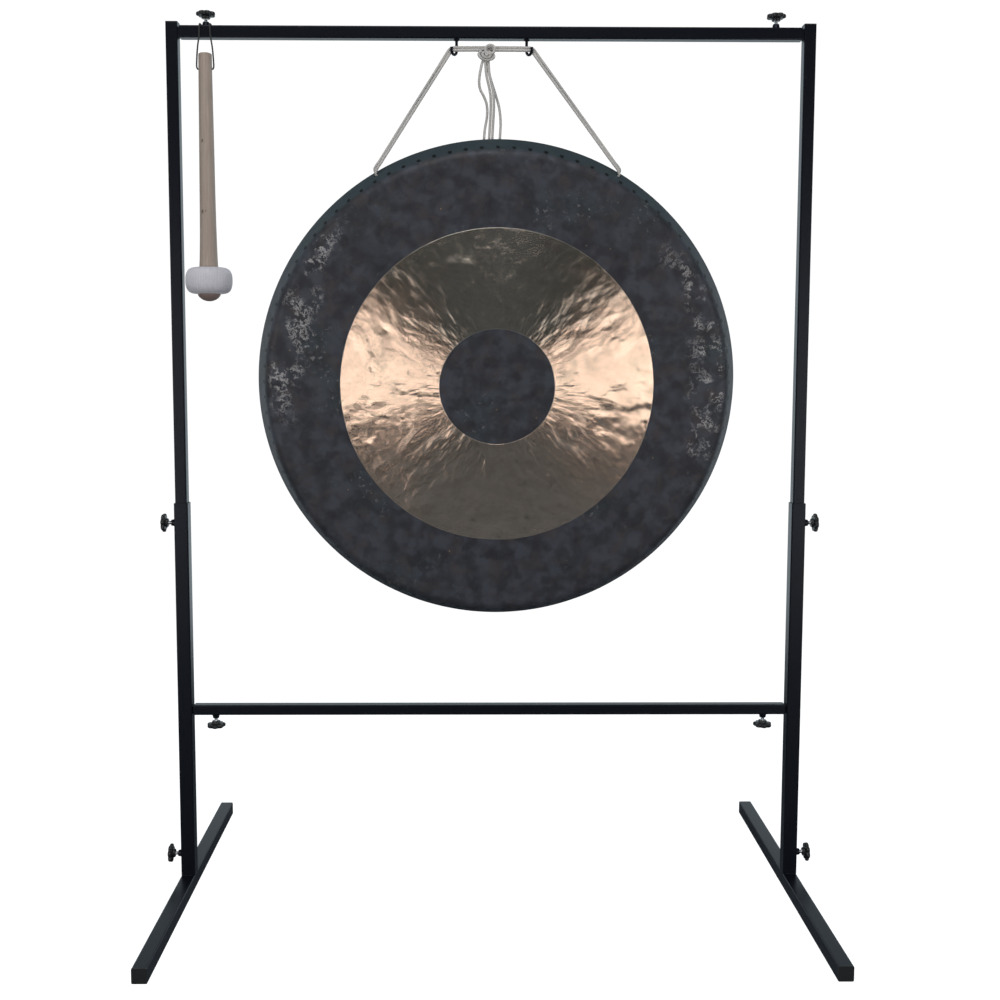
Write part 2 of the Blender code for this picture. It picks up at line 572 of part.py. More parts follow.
# The black loop goes round the left top clamp's nut, over the bar's front and through the handle.
loop_half = [
    (0.0120, MALLET_Y, 1.8110), (0.0112, MALLET_Y, 1.8240), (0.0107, -0.0147, 1.8350),
    (0.0105, -0.0128, 1.8388), (0.0104, -0.0090, 1.8402), (0.0104, -0.0030, 1.8403),
    (0.0096, 0.0040, 1.8403), (0.0066, 0.0085, 1.8403)]
over_bar = [Vector((MALLET_X - x, y, z)) for x, y, z in loop_half]
over_bar.append(Vector((MALLET_X, 0.0106, 1.8403)))
over_bar += [Vector((MALLET_X + x, y, z)) for x, y, z in loop_half[::-1]]
over_bar[0] = Vector((MALLET_X - LOOP_SPREAD, MALLET_Y, LOOP_PIVOT_Z + LOOP_SPLIT))
over_bar[-1] = Vector((MALLET_X + LOOP_SPREAD, MALLET_Y, LOOP_PIVOT_Z + LOOP_SPLIT))
carry(height_axis, cord("mallet_loop_over_bar", smooth_route(over_bar), LOOP_R, "black_cord"))

below = [(LOOP_SPREAD, LOOP_PIVOT_Z - LOOP_SPLIT), (0.0143, 1.7980), (0.0160, 1.7830), (0.0169, 1.7700),
         (0.0174, 1.7605), (0.0176, 1.7555), (0.0170, 1.7508), (0.0153, 1.7482), (0.0128, 1.7480)]
below = [(-x, z) for x, z in below] + [(0, 1.7480)] + below[::-1]
below = [(MALLET_X + x, z) for x, z in below]
hanging = smooth_route([(x, MALLET_Y, z) for x, z in below])
carry(loop_axis, cord("mallet_loop", hanging, LOOP_R, "black_cord"))
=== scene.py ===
"""Tam-tam gong on its height-adjustable stand, with its hanging cord and its mallet.

The stand's square tubes, caps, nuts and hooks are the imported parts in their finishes.  The cords
and their knot, the gong's hammered plate, the weld beads, the clamp screws and the mallet are
made here.  Sizes are in metres, +Z is up and -Y is the side that is struck.
"""
import math

import bmesh
import bpy
import numpy as np
from mathutils import Matrix, Vector


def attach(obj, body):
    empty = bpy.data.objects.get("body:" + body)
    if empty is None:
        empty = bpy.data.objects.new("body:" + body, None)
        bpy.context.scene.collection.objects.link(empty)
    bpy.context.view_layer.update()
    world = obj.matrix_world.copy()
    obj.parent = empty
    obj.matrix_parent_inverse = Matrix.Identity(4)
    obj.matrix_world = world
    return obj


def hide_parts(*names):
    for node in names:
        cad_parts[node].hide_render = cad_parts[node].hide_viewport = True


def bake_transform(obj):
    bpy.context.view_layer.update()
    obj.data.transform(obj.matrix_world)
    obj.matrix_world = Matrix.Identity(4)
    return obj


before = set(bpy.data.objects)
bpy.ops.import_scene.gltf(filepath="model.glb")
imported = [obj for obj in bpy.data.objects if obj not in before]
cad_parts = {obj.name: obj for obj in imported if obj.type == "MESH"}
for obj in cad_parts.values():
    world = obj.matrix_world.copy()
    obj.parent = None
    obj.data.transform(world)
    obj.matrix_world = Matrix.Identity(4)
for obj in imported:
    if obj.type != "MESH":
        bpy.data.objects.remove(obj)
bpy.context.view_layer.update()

# ---- Camera -----------------------------------------------------------------------------------
# It stands 2.5 m in front of the gong, a little left of the middle and a little above the gong's
# centre, and looks slightly down.
CAMERA_PLACE = Vector((-0.0507, -2.534, 1.1745))
CAMERA_DOWN = math.radians(5.04)
CAMERA_RIGHT = math.radians(0.55)
CAMERA_ROLL = math.radians(0.09)
SENSOR = 36.0
FOCAL = 1.1933                      # focal length over the sensor's width
camera = bpy.data.objects.new("camera", bpy.data.cameras.new("camera"))
camera.data.sensor_width = SENSOR
camera.data.lens = FOCAL * SENSOR
camera.data.shift_x = 0.0218
camera.data.shift_y = -0.0452
look = Vector((math.sin(CAMERA_RIGHT) * math.cos(CAMERA_DOWN),
               math.cos(CAMERA_RIGHT) * math.cos(CAMERA_DOWN), -math.sin(CAMERA_DOWN)))
aim = look.to_track_quat("-Z", "Y").to_matrix().to_4x4() @ Matrix.Rotation(CAMERA_ROLL, 4, "Z")
camera.matrix_world = Matrix.Translation(CAMERA_PLACE) @ aim
bpy.context.scene.collection.objects.link(camera)
bpy.context.scene.camera = camera
bpy.context.scene.view_settings.view_transform = "Standard"


# ---- Hanging cord -----------------------------------------------------------------------------
# Off-white cotton cord, 5.5 mm thick, braided from eight carriers each way.  Each leg runs down
# from its hook through a hole in the gong's rim and back up round the rim's edge, and the two
# strands between the hooks meet in one knot, with four loose ends.
CORD_R = 0.00275
CORD_PITCH = 0.0058                 # between two strands that lie side by side
CORD_STEP = 0.0007                  # between two rings of a cord's skin
CORD_AROUND = 32
BRAID_TURNS = 4                     # half the number of carriers each way
BRAID_CELL = 0.0031                 # length of one crossing
HOOK_X = 0.0725
HOOK_BEND_R = 0.0085
HOOK_OUT = 0.6
HOOK_LOW_Z = 1.7809                 # middle of the hook's rod at its lowest point
SWING_Z = 1.780                     # the legs turn here, level with the bottoms of the hooks
STRAND_BEND_R = 0.0085
LEG_OUT = 0.012
KNOT = np.array((-0.0097, -0.0068, 1.784))

GONG_CENTRE = np.array((0.013, -0.0173, 1.0965))
GONG_TILT = math.radians(4.7)
GONG_R = 0.512
GONG_WALL = 0.003
FACE_R = 0.471
SHOULDER_R = 0.022
RIM_FLARE = math.radians(24)
RIM_DEPTH = 0.062
HOLE_R = 0.0053
HOLE_ANGLE = math.radians(30)
HOLE_DEPTH = 0.044
ACROSS = np.array((1.0, 0.0, 0.0))
BACK = np.array((0.0, math.cos(GONG_TILT), math.sin(GONG_TILT)))
UP = np.array((0.0, -math.sin(GONG_TILT), math.cos(GONG_TILT)))
SHOULDER_END_R = FACE_R + SHOULDER_R * math.cos(RIM_FLARE)
SHOULDER_END_DEPTH = SHOULDER_R * (1 - math.sin(RIM_FLARE))


class Wire:
    """A socket in a node tree that takes part in sums: each operator adds one Math node."""

    def __init__(self, tree, socket):
        self.tree = tree
        self.socket = socket

    def math(self, operation, *values):
        node = self.tree.nodes.new("ShaderNodeMath")
        node.operation = operation
        for socket, value in zip(node.inputs, values):
            feed(self.tree, socket, value)
        return Wire(self.tree, node.outputs[0])

    def to_nearest_whole(self):
        """How far the value is from the nearest whole number."""
        return self.math("PINGPONG", self, 0.5)

    def __add__(self, other):
        return self.math("ADD", self, other)

    def __sub__(self, other):
        return self.math("SUBTRACT", self, other)

    def __rsub__(self, other):
        return self.math("SUBTRACT", other, self)

    def __mul__(self, other):
        return self.math("MULTIPLY", self, other)

    def __truediv__(self, other):
        return self.math("DIVIDE", self, other)

    def __pow__(self, other):
        return self.math("POWER", self, other)

    def __abs__(self):
        return self.math("ABSOLUTE", self)

    __radd__ = __add__
    __rmul__ = __mul__


def feed(tree, socket, value):
    """Link a wire to a socket, or set the socket's own value."""
    if isinstance(value, Wire):
        tree.links.new(value.socket, socket)
    elif socket.type == "RGBA":
        socket.default_value = (*value, 1.0)
    else:
        socket.default_value = value


class Paint:
    """A node tree that is built one node at a time."""

    def __init__(self, tree):
        self.tree = tree

    def node(self, kind, settings=None, values=None, out=0):
        """Add a node: settings first, then the values or links of its sockets; give one output."""
        node = self.tree.nodes.new("ShaderNode" + kind)
        for key, setting in (settings or {}).items():
            if key == "stops":
                elements = node.color_ramp.elements
                while len(elements) < len(setting):
                    elements.new(0.5)
                for element, (place, colour) in zip(elements, setting):
                    element.position = place
                    element.color = (*colour, 1.0)
            else:
                setattr(node, key, setting)
        for key, value in (values or {}).items():
            feed(self.tree, node.inputs[key], value)
        return Wire(self.tree, node.outputs[out])

    def noise(self, where, scale, detail=3.0, roughness=0.5):
        return self.node("TexNoise", {}, {"Vector": where, "Scale": scale, "Detail": detail,
                                          "Roughness": roughness})

    def cells(self, where, scale, out="Distance"):
        return self.node("TexVoronoi", {}, {"Vector": where, "Scale": scale}, out)

    def band(self, value, low, high):
        """A smooth step: 0 at low, 1 at high."""
        return self.node("MapRange", {"interpolation_type": "SMOOTHSTEP"},
                         {"Value": value, "From Min": low, "From Max": high})

    def mix(self, share, first, second):
        """One colour turning into another as the share goes from 0 to 1."""
        return self.node("Mix", {"data_type": "RGBA"}, {0: share, 6: first, 7: second}, 2)


class Finish(Paint):
    """A material with its Principled shader."""

    def __init__(self, name):
        self.material = bpy.data.materials.new(name)
        self.material.use_nodes = True
        super().__init__(self.material.node_tree)
        self.shader = self.tree.nodes["Principled BSDF"]

    def place(self, centre=(0, 0, 0), turn=(0, 0, 0), stretch=(1, 1, 1)):
        """Object coordinates from a centre, in turned and stretched axes."""
        here = self.node("TexCoord", out="Object")
        return self.node("Mapping", {"vector_type": "TEXTURE"},
                         {"Vector": here, "Location": centre, "Rotation": turn, "Scale": stretch})

    def axes(self, where):
        """The three parts of a vector."""
        split = self.node("SeparateXYZ", {}, {"Vector": where}).socket.node
        return [Wire(self.tree, output) for output in split.outputs]

    def bump(self, height, distance, strength=1.0, normal=None):
        values = {"Height": height, "Distance": distance, "Strength": strength}
        if normal is not None:
            values["Normal"] = normal
        return self.node("Bump", {}, values)

    def set(self, **values):
        """Feed the Principled shader; an underscore stands for a space in a socket's name."""
        for key, value in values.items():
            feed(self.tree, self.shader.inputs[key.replace("_", " ")], value)
        return self.material


def even_route(points, step):
    """A centripetal Catmull-Rom curve through the points, read at equal distances."""
    p = np.asarray(points, dtype=float)
    p = np.vstack([2 * p[0] - p[1], p, 2 * p[-1] - p[-2]])
    knots = np.concatenate([[0], np.cumsum(np.linalg.norm(np.diff(p, axis=0), axis=1) ** 0.5)])
    fine = [np.linspace(a, b, 30, endpoint=False) for a, b in zip(knots[1:-2], knots[2:-1])]
    u = np.concatenate(fine + [knots[-2:-1]])
    i = np.clip(np.searchsorted(knots, u, side="right") - 1, 1, len(knots) - 3)

    def between(first, second, start, end):
        share = ((u - knots[start]) / (knots[end] - knots[start]))[:, None]
        return first + (second - first) * share

    a1 = between(p[i - 1], p[i], i - 1, i)
    a2 = between(p[i], p[i + 1], i, i + 1)
    a3 = between(p[i + 1], p[i + 2], i + 1, i + 2)
    curve = between(between(a1, a2, i - 1, i + 1), between(a2, a3, i, i + 2), i, i + 1)
    run = np.concatenate([[0], np.cumsum(np.linalg.norm(np.diff(curve, axis=0), axis=1))])
    even = np.linspace(0, run[-1], max(3, math.ceil(run[-1] / step) + 1))
    return np.stack([np.interp(even, run, curve[:, axis]) for axis in range(3)], axis=1)


def carried_axes(route):
    """Tangent, side and third axis at each place, the side turned as little as possible."""
    tangent = np.gradient(route, axis=0)
    tangent /= np.linalg.norm(tangent, axis=1)[:, None]
    start = np.cross(tangent[0], np.eye(3)[np.argmin(np.abs(tangent[0]))])
    sides = [start / np.linalg.norm(start)]
    for ahead in tangent[1:]:
        side = sides[-1] - ahead * (sides[-1] @ ahead)
        sides.append(side / np.linalg.norm(side))
    side = np.array(sides)
    return tangent, side, np.cross(tangent, side)


def tube_grid(route, radius, around, relief):
    """A round skin along a route with round ends.

    place = route(s) + r(a, s) (side cos a + third sin a), where relief(a, s) scales r, and the
    first and last rings shrink along a quarter circle into a pole.
    """
    tangent, side, third = carried_axes(route)
    s = np.concatenate([[0], np.cumsum(np.linalg.norm(np.diff(route, axis=0), axis=1))])
    closing = np.radians([89.9, 65, 40, 20])
    rows = np.concatenate([np.zeros(4, int), np.arange(len(route)), np.full(4, len(route) - 1)])
    lean = np.concatenate([-closing, np.zeros(len(route)), closing[::-1]])
    a = np.linspace(0, 2 * math.pi, around, endpoint=False)[None, :]
    along = s[rows] + radius * np.sin(lean)
    r = (radius * np.cos(lean))[:, None] * relief(a, along[:, None])
    middle = route[rows] + tangent[rows] * (radius * np.sin(lean))[:, None]
    grid = middle[:, None] + r[..., None] * (side[rows][:, None] * np.cos(a)[..., None]
                                             + third[rows][:, None] * np.sin(a)[..., None])
    return grid, along


def ring_faces(rows, around):
    """Quads between neighbouring rings that close on themselves."""
    i, j = np.meshgrid(np.arange(rows - 1), np.arange(around), indexing="ij")
    k = (j + 1) % around
    return np.stack([i * around + j, i * around + k, (i + 1) * around + k, (i + 1) * around + j],
                    axis=-1).reshape(-1, 4)


def piece_of(name, material, body, *skins, poles=True):
    """One mesh on a body from (grid, lengthwise) skins; a pole closes each end of each skin.

    The UV map's u runs once round a skin and v is lengthwise distance in metres.
    """
    points, faces, maps, start = [], [], [], 0
    for grid, lengthwise in skins:
        rows, around = grid.shape[:2]
        quads = ring_faces(rows, around)
        u = (np.arange(around) / around)[None, :, None]
        v = np.broadcast_to(np.reshape(lengthwise, (rows, 1, 1)), (rows, around, 1))
        maps.append(np.concatenate([np.broadcast_to(u, v.shape), v], axis=2).reshape(-1, 2))
        points.append(grid.reshape(-1, 3))
        faces += (quads + start).tolist()
        if poles:
            first = np.arange(around) + start
            last = first + (rows - 1) * around
            faces += [first[::-1].tolist(), last.tolist()]
        start += rows * around
    mesh = bpy.data.meshes.new(name)
    mesh.from_pydata(np.concatenate(points), [], faces)
    corners = np.empty(len(mesh.loops), dtype=np.int32)
    mesh.loops.foreach_get("vertex_index", corners)
    uv = np.concatenate(maps)[corners]
    corner_count = np.empty(len(mesh.polygons), dtype=np.int32)
    first_corner = np.empty(len(mesh.polygons), dtype=np.int32)
    mesh.polygons.foreach_get("loop_total", corner_count)
    mesh.polygons.foreach_get("loop_start", first_corner)
    index = first_corner[corner_count == 4][:, None] + np.arange(4)
    across_seam = (uv[index, 0].max(axis=1) - uv[index, 0].min(axis=1)) > 0.5
    seam = index[across_seam]
    uv[seam, 0] += (uv[seam, 0] < 0.5)
    layer = mesh.uv_layers.new(name="UVMap")
    layer.data.foreach_set("uv", uv.astype(np.float32).ravel())
    mesh.polygons.foreach_set("use_smooth", np.ones(len(mesh.polygons), dtype=bool))
    mesh.materials.append(material)
    shape = bmesh.new()
    shape.from_mesh(mesh)
    if shape.calc_volume(signed=True) < 0:
        bmesh.ops.reverse_faces(shape, faces=shape.faces)
    shape.to_mesh(mesh)
    shape.free()
    piece = bpy.data.objects.new(name, mesh)
    bpy.context.scene.collection.objects.link(piece)
    if isinstance(body, str):
        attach(piece, body)
    return piece


def braid_relief(a, s):
    """Share of the radius: 1.03 on each crossing's crown and 0.95 between the yarns.

    It is 0.95 + 0.08 |sin(p) sin(q)|^0.6, where p and q grow along the two slants.
    """
    slant = math.pi * s / BRAID_CELL
    crossing = np.abs(np.sin(BRAID_TURNS * a + slant) * np.sin(BRAID_TURNS * a - slant))
    return 0.95 + 0.08 * crossing ** 0.6


def braided(name, route, body):
    """A braided cord along a route, as a closed skin."""
    return piece_of(name, braid, body, tube_grid(route, CORD_R, CORD_AROUND, braid_relief))


cord_paint = Finish("braided_cotton")
round_and_along = cord_paint.node("UVMap")
u, v, _ = cord_paint.axes(round_and_along)
crossings_round = u * (BRAID_TURNS * 2)
crossings_along = v / BRAID_CELL
slant_up = (crossings_round + crossings_along).to_nearest_whole()
slant_down = (crossings_round - crossings_along).to_nearest_whole()
between_yarns = cord_paint.band(slant_up.math("MINIMUM", slant_up, slant_down), 0.16, 0.0)
here = cord_paint.place()
grime = cord_paint.band(cord_paint.noise(here, 60.0, 4.0), 0.45, 0.75)
fibre = cord_paint.noise(here, 5200.0, 2.0)
# Painted shade: the cord is darker in the gaps between the yarns.
cord_colour = cord_paint.mix(between_yarns * 0.30, (0.55, 0.53, 0.51), (0.38, 0.36, 0.345))
cord_colour = cord_paint.mix(grime * 0.25, cord_colour, (0.42, 0.39, 0.365))
braid = cord_paint.set(Base_Color=cord_colour, Roughness=0.86, Specular_IOR_Level=0.25,
                       Sheen_Weight=0.25, Sheen_Roughness=0.5,
                       Normal=cord_paint.bump(fibre * 0.5 - between_yarns * 0.8, 0.00025, 0.35))


def rim_frame(side):
    """Middle of a rim hole in the wall, the rim's outward normal and its slope to the back edge."""
    radial = side * math.sin(HOLE_ANGLE) * ACROSS + math.cos(HOLE_ANGLE) * UP
    normal = math.cos(RIM_FLARE) * radial - math.sin(RIM_FLARE) * BACK
    slope = math.sin(RIM_FLARE) * radial + math.cos(RIM_FLARE) * BACK
    out = SHOULDER_END_R + (HOLE_DEPTH - SHOULDER_END_DEPTH) * math.tan(RIM_FLARE)
    return GONG_CENTRE + out * radial + HOLE_DEPTH * BACK - normal * GONG_WALL / 2, normal, slope


def leg_heading(side):
    """Direction of a leg from its rim hole up to its hook, in the plane of the hooks."""
    hole = rim_frame(side)[0]
    way = np.array((side * (HOOK_X + LEG_OUT) - hole[0], 0, SWING_Z - hole[2]))
    return way / np.linalg.norm(way)


def over_hook(side, radius):
    """The strand's bend over the hook's bottom, and where it reaches the swing's level."""
    away = leg_heading(side)
    middle = np.array((side * (HOOK_X + HOOK_OUT * HOOK_BEND_R), KNOT[1], HOOK_LOW_Z))
    last = math.atan2(abs(away[0]), away[2]) - math.pi / 2
    angles = math.pi / 2 + last * np.linspace(0, 1, 5)
    spread = np.stack([side * np.cos(angles), 0 * angles, np.sin(angles)], axis=1)
    bend = middle + radius * spread
    return bend, bend[-1] - away * (bend[-1][2] - SWING_Z) / away[2]


# The way round the rim, from the middle of the hole, as (out along the rim's normal, back along
# its slope, up the leg): in at the mouth, through the wall and out round the rear edge.
HOLE_MOUTH = (0.0072, 0, 0.0075)
ROUND_RIM = [(0.0038, 0, 0.0008), (0, 0, 0), (-0.0035, 0.0004, 0), (-0.0070, 0.0045, 0),
             (-0.0078, 0.0110, 0), (-0.0070, 0.0190, 0), (-0.0020, 0.0258, 0),
             (0.0040, 0.0268, 0.0030)]
for side, word in ((-1, "left"), (1, "right")):
    hole, normal, slope = rim_frame(side)
    away = leg_heading(side)
    front_foot = over_hook(side, STRAND_BEND_R)[1]
    rear_foot = over_hook(side, STRAND_BEND_R + CORD_PITCH)[1]
    mouth, *round_rim = [hole + normal * p + slope * q + away * w
                         for p, q, w in [HOLE_MOUTH] + ROUND_RIM]
    route = [front_foot + (mouth - front_foot) * share for share in (0, 0.25, 0.5, 0.75, 0.93, 1)]
    route += round_rim
    edge = route[-1]
    route += [edge + (rear_foot - edge) * share for share in (0.07, 0.25, 0.5, 0.75, 1)]
    path = even_route(route, CORD_STEP)
    leg = braided(f"{word}_leg_of_cord", path, None)
    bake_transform(leg)
    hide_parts(f"{word}_cord_leg")
    path[::4].tolist() + [path[-1].tolist()]

# The two strands between the hooks, one above the other.
strands = []
for word, radius in (("lower", STRAND_BEND_R), ("upper", STRAND_BEND_R + CORD_PITCH)):
    left_bend, left_foot = over_hook(-1, radius)
    right_bend, right_foot = over_hook(1, radius)
    path = even_route(np.vstack([left_foot, left_bend[::-1], right_bend, right_foot]), CORD_STEP)
    strands.append((word, path, braided(f"{word}_strand", path, "upper_frame")))


# The knot: an overhand core, x = sin t + 2 sin 2t, z = cos t - 2 cos 2t, y = -sin 3t, with one
# winding in front and one behind that tighten inwards, and a small standing turn with an eye.
def knot_turns(centre, reach, turns, start, bulge, shrink=0.0, slope=0.0):
    """An ellipse that winds inwards, turned by the slope about Y.

    place = knot + centre + (k X cos t, -bulge (1 - k), k Z sin t), where k = 1 - shrink t / 2 pi.
    """
    t = np.linspace(0, 2 * math.pi * turns, int(70 * turns))
    k = 1 - shrink * t / (2 * math.pi)
    wide, tall = reach[0] * k * np.cos(t + start), reach[1] * k * np.sin(t + start)
    x = wide * math.cos(slope) - tall * math.sin(slope)
    z = wide * math.sin(slope) + tall * math.cos(slope)
    return KNOT + centre + np.stack([x, -bulge * (1 - k), z], axis=1)


turn = np.linspace(0.35, 2 * math.pi + 0.15, 200)
core = np.stack([0.0050 * (np.sin(turn) + 2 * np.sin(2 * turn)),
                 -0.0050 * np.sin(3 * turn) + 0.001,
                 0.0036 * (np.cos(turn) - 2 * np.cos(2 * turn))], axis=1) + KNOT
front = knot_turns(centre=(0.0006, -0.0050, -0.0058), reach=(0.0186, 0.0100), turns=2.3,
                   start=2.4, bulge=0.0062, shrink=0.40, slope=-0.12)
rear = knot_turns(centre=(0.0004, 0.0062, -0.0030), reach=(0.0170, 0.0112), turns=1.9,
                  start=1.0, bulge=-0.0060, shrink=0.46, slope=0.10)
eye = knot_turns(centre=(0.0062, -0.0100, 0.0052), reach=(0.0098, 0.0088), turns=1.15,
                 start=-0.9, bulge=0.0, slope=0.3)
knot = piece_of("knot", braid, "upper_frame",
                *[tube_grid(even_route(way[::3], CORD_STEP), CORD_R, CORD_AROUND, braid_relief)
                  for way in (core, front, rear, eye)])
for word, path, strand in strands:
    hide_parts("cord_run_and_knot")
    path[::4].tolist() + [path[-1].tolist()]
    [knot] if word == "upper" else []

# The four loose ends hang from the knot's underside and pass behind the gong's top edge.
TAIL_ROUTES = {
    "outer_left_tail": [
        (-0.0160, -0.0064, 1.7715), (-0.0190, -0.0070, 1.7660),
        (-0.0222, -0.0066, 1.7530), (-0.0245, -0.0056, 1.7410),
        (-0.0257, -0.0034, 1.7250), (-0.0232, -0.0008, 1.7120), (-0.0160, 0.0030, 1.6990),
        (-0.0108, 0.0066, 1.6870), (-0.0086, 0.0104, 1.6740), (-0.0088, 0.0138, 1.6610),
        (-0.0108, 0.0170, 1.6480), (-0.0132, 0.0190, 1.6350), (-0.0146, 0.0200, 1.6200),
        (-0.0150, 0.0204, 1.6020), (-0.0146, 0.0204, 1.5840), (-0.0136, 0.0200, 1.5640),
        (-0.0128, 0.0194, 1.5420)],
    "inner_left_tail": [
        (-0.0116, -0.0070, 1.7715), (-0.0126, -0.0080, 1.7656),
        (-0.0122, -0.0078, 1.7530), (-0.0108, -0.0068, 1.7410),
        (-0.0080, -0.0050, 1.7280), (-0.0046, -0.0026, 1.7150), (-0.0020, 0.0006, 1.7000),
        (-0.0012, 0.0044, 1.6840), (-0.0014, 0.0084, 1.6680), (-0.0022, 0.0124, 1.6520),
        (-0.0032, 0.0162, 1.6340), (-0.0044, 0.0192, 1.6140), (-0.0052, 0.0206, 1.5940),
        (-0.0056, 0.0210, 1.5740), (-0.0054, 0.0208, 1.5520), (-0.0048, 0.0204, 1.5300)],
    "inner_right_tail": [
        (-0.0068, -0.0070, 1.7715), (-0.0064, -0.0080, 1.7656),
        (-0.0058, -0.0078, 1.7530), (-0.0042, -0.0070, 1.7410),
        (-0.0014, -0.0052, 1.7280), (0.0020, -0.0028, 1.7150), (0.0044, 0.0004, 1.7000),
        (0.0052, 0.0042, 1.6840), (0.0050, 0.0082, 1.6680), (0.0042, 0.0122, 1.6520),
        (0.0032, 0.0160, 1.6340), (0.0022, 0.0190, 1.6140), (0.0016, 0.0204, 1.5940),
        (0.0016, 0.0208, 1.5740), (0.0022, 0.0208, 1.5540), (0.0030, 0.0204, 1.5360)],
    "outer_right_tail": [
        (-0.0090, -0.0006, 1.7662), (-0.0072, 0.0002, 1.7530), (-0.0036, 0.0014, 1.7400),
        (0.0006, 0.0032, 1.7270), (0.0054, 0.0058, 1.7130), (0.0102, 0.0088, 1.6990),
        (0.0146, 0.0118, 1.6850), (0.0176, 0.0146, 1.6710), (0.0192, 0.0168, 1.6570),
        (0.0196, 0.0186, 1.6430), (0.0190, 0.0198, 1.6280), (0.0178, 0.0206, 1.6100),
        (0.0166, 0.0210, 1.5900), (0.0156, 0.0210, 1.5700), (0.0150, 0.0206, 1.5500)],
}
for name, route in TAIL_ROUTES.items():
    path = even_route(route, CORD_STEP)
    tail = braided(name.replace("tail", "loose_end"), path, None)
    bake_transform(tail)
    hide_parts(name)
    path[::4].tolist() + [path[-1].tolist()]


# ---- Gong -------------------------------------------------------------------------------------
# One hammered bronze plate, 3 mm thick: a shallow crowned face, a tight shoulder and a flared rim.
# It is fired blue-black all over, except for a ring that is turned bright on a lathe.
DISC_R = 0.122                      # dark disc in the middle
RING_R = 0.3295                     # bright ring round it
FACE_CROWN = 0.006
GONG_AROUND = 336
PUNCH_PITCH = 0.034                 # between two punch marks round the rim
PUNCH_R = 0.0046
PUNCH_DEPTH = 0.0155                # behind the face's edge
RADIAL_LEAN = 0.33                  # largest lean of a groove that the lathe left
RIPPLE = 2.4                        # the bright ring's ripple, against the other relief
RING_EDGE = 0.0006                  # the ring's edges fade over twice this
hammer = np.random.default_rng(11)


def scattered(count, inner, outer):
    """Places spread evenly over a ring, as (radius, angle) pairs."""
    radius = np.sqrt(hammer.uniform(inner ** 2, outer ** 2, count))
    return radius, hammer.uniform(0, 2 * math.pi, count)


def blows(r, a, count, inner, outer, size, depth, long=1.0):
    """Sum of round hammer marks: -depth exp(-2.2 d^2 / size^2), drawn out along the radius."""
    total = np.zeros_like(r)
    for mark_r, mark_a in zip(*scattered(count, inner, outer)):
        wide = hammer.uniform(*size)
        deep = hammer.uniform(*depth)
        near = np.abs(r - mark_r) < 3 * wide * long
        away_r = (r - mark_r)[near] / long
        turn_by = (a[near] - mark_a + math.pi) % (2 * math.pi) - math.pi
        total[near] -= deep * np.exp(-2.2 * (away_r ** 2 + (turn_by * r[near]) ** 2) / wide ** 2)
    return total


def crown(r):
    """The face stands forward in the middle by crown (1 - (r / face radius)^2)."""
    return FACE_CROWN * (1 - (r / FACE_R) ** 2)


# The outer profile runs from the middle over the shoulder to the back edge, and the inner one
# comes back at the wall's thickness, with fewer rows; depth is measured back from the face's edge.
front_r = np.concatenate([np.linspace(0.0006, 0.02, 5), np.linspace(0.0235, FACE_R, 138)])
bend = np.linspace(0, math.pi / 2 - RIM_FLARE, 13)[1:]
rim_share = np.linspace(0, 1, 18)[1:]
outer_r = np.concatenate([front_r, FACE_R + SHOULDER_R * np.sin(bend),
                          SHOULDER_END_R + (GONG_R - SHOULDER_END_R) * rim_share])
outer_depth = np.concatenate([-crown(front_r), SHOULDER_R * (1 - np.cos(bend)),
                              SHOULDER_END_DEPTH + (RIM_DEPTH - SHOULDER_END_DEPTH) * rim_share])
run_r, run_depth = np.gradient(outer_r), np.gradient(outer_depth)
run = np.hypot(run_r, run_depth)
inner_r = outer_r - run_depth / run * GONG_WALL
inner_depth = outer_depth + run_r / run * GONG_WALL
edge = np.radians([25, 65, 115, 155])
edge_r = (outer_r[-1] + inner_r[-1]) / 2 + (outer_r[-1] - inner_r[-1]) / 2 * np.cos(edge)
edge_depth = RIM_DEPTH + 0.0006 + 0.0009 * np.sin(edge)
back_rows = np.concatenate([np.arange(0, 143, 3), np.arange(143, len(outer_r), 2)])[::-1]
profile_r = np.concatenate([outer_r, edge_r, inner_r[back_rows]])
profile_depth = np.concatenate([outer_depth, edge_depth, inner_depth[back_rows]])
profile_r = np.maximum(profile_r, 0.0006)
around = np.linspace(0, 2 * math.pi, GONG_AROUND, endpoint=False)
r = np.broadcast_to(profile_r[:, None], (len(profile_r), GONG_AROUND)).copy()
a = np.broadcast_to(around[None, :], r.shape)
depth = np.broadcast_to(profile_depth[:, None], r.shape)
# On the rim the marks are laid out along its slope, as if it were flat and the face went on.
unrolled = np.where(depth > SHOULDER_END_DEPTH, r + depth, r)
dents = blows(unrolled, a, 900, 0.33, 0.58, (0.012, 0.021), (0.00012, 0.00042))
dents += blows(unrolled, a, 420, 0.12, 0.335, (0.009, 0.020), (0.00015, 0.00075), 1.6)
dents += blows(unrolled, a, 70, 0.0, 0.125, (0.011, 0.019), (0.00010, 0.00030))
dents += blows(unrolled, a, 60, 0.12, 0.50, (0.035, 0.08), (0.0004, 0.0016))
dents -= dents.mean()
grid = (GONG_CENTRE + (r * np.sin(a))[..., None] * ACROSS + (r * np.cos(a))[..., None] * UP
        + (depth - dents)[..., None] * BACK)


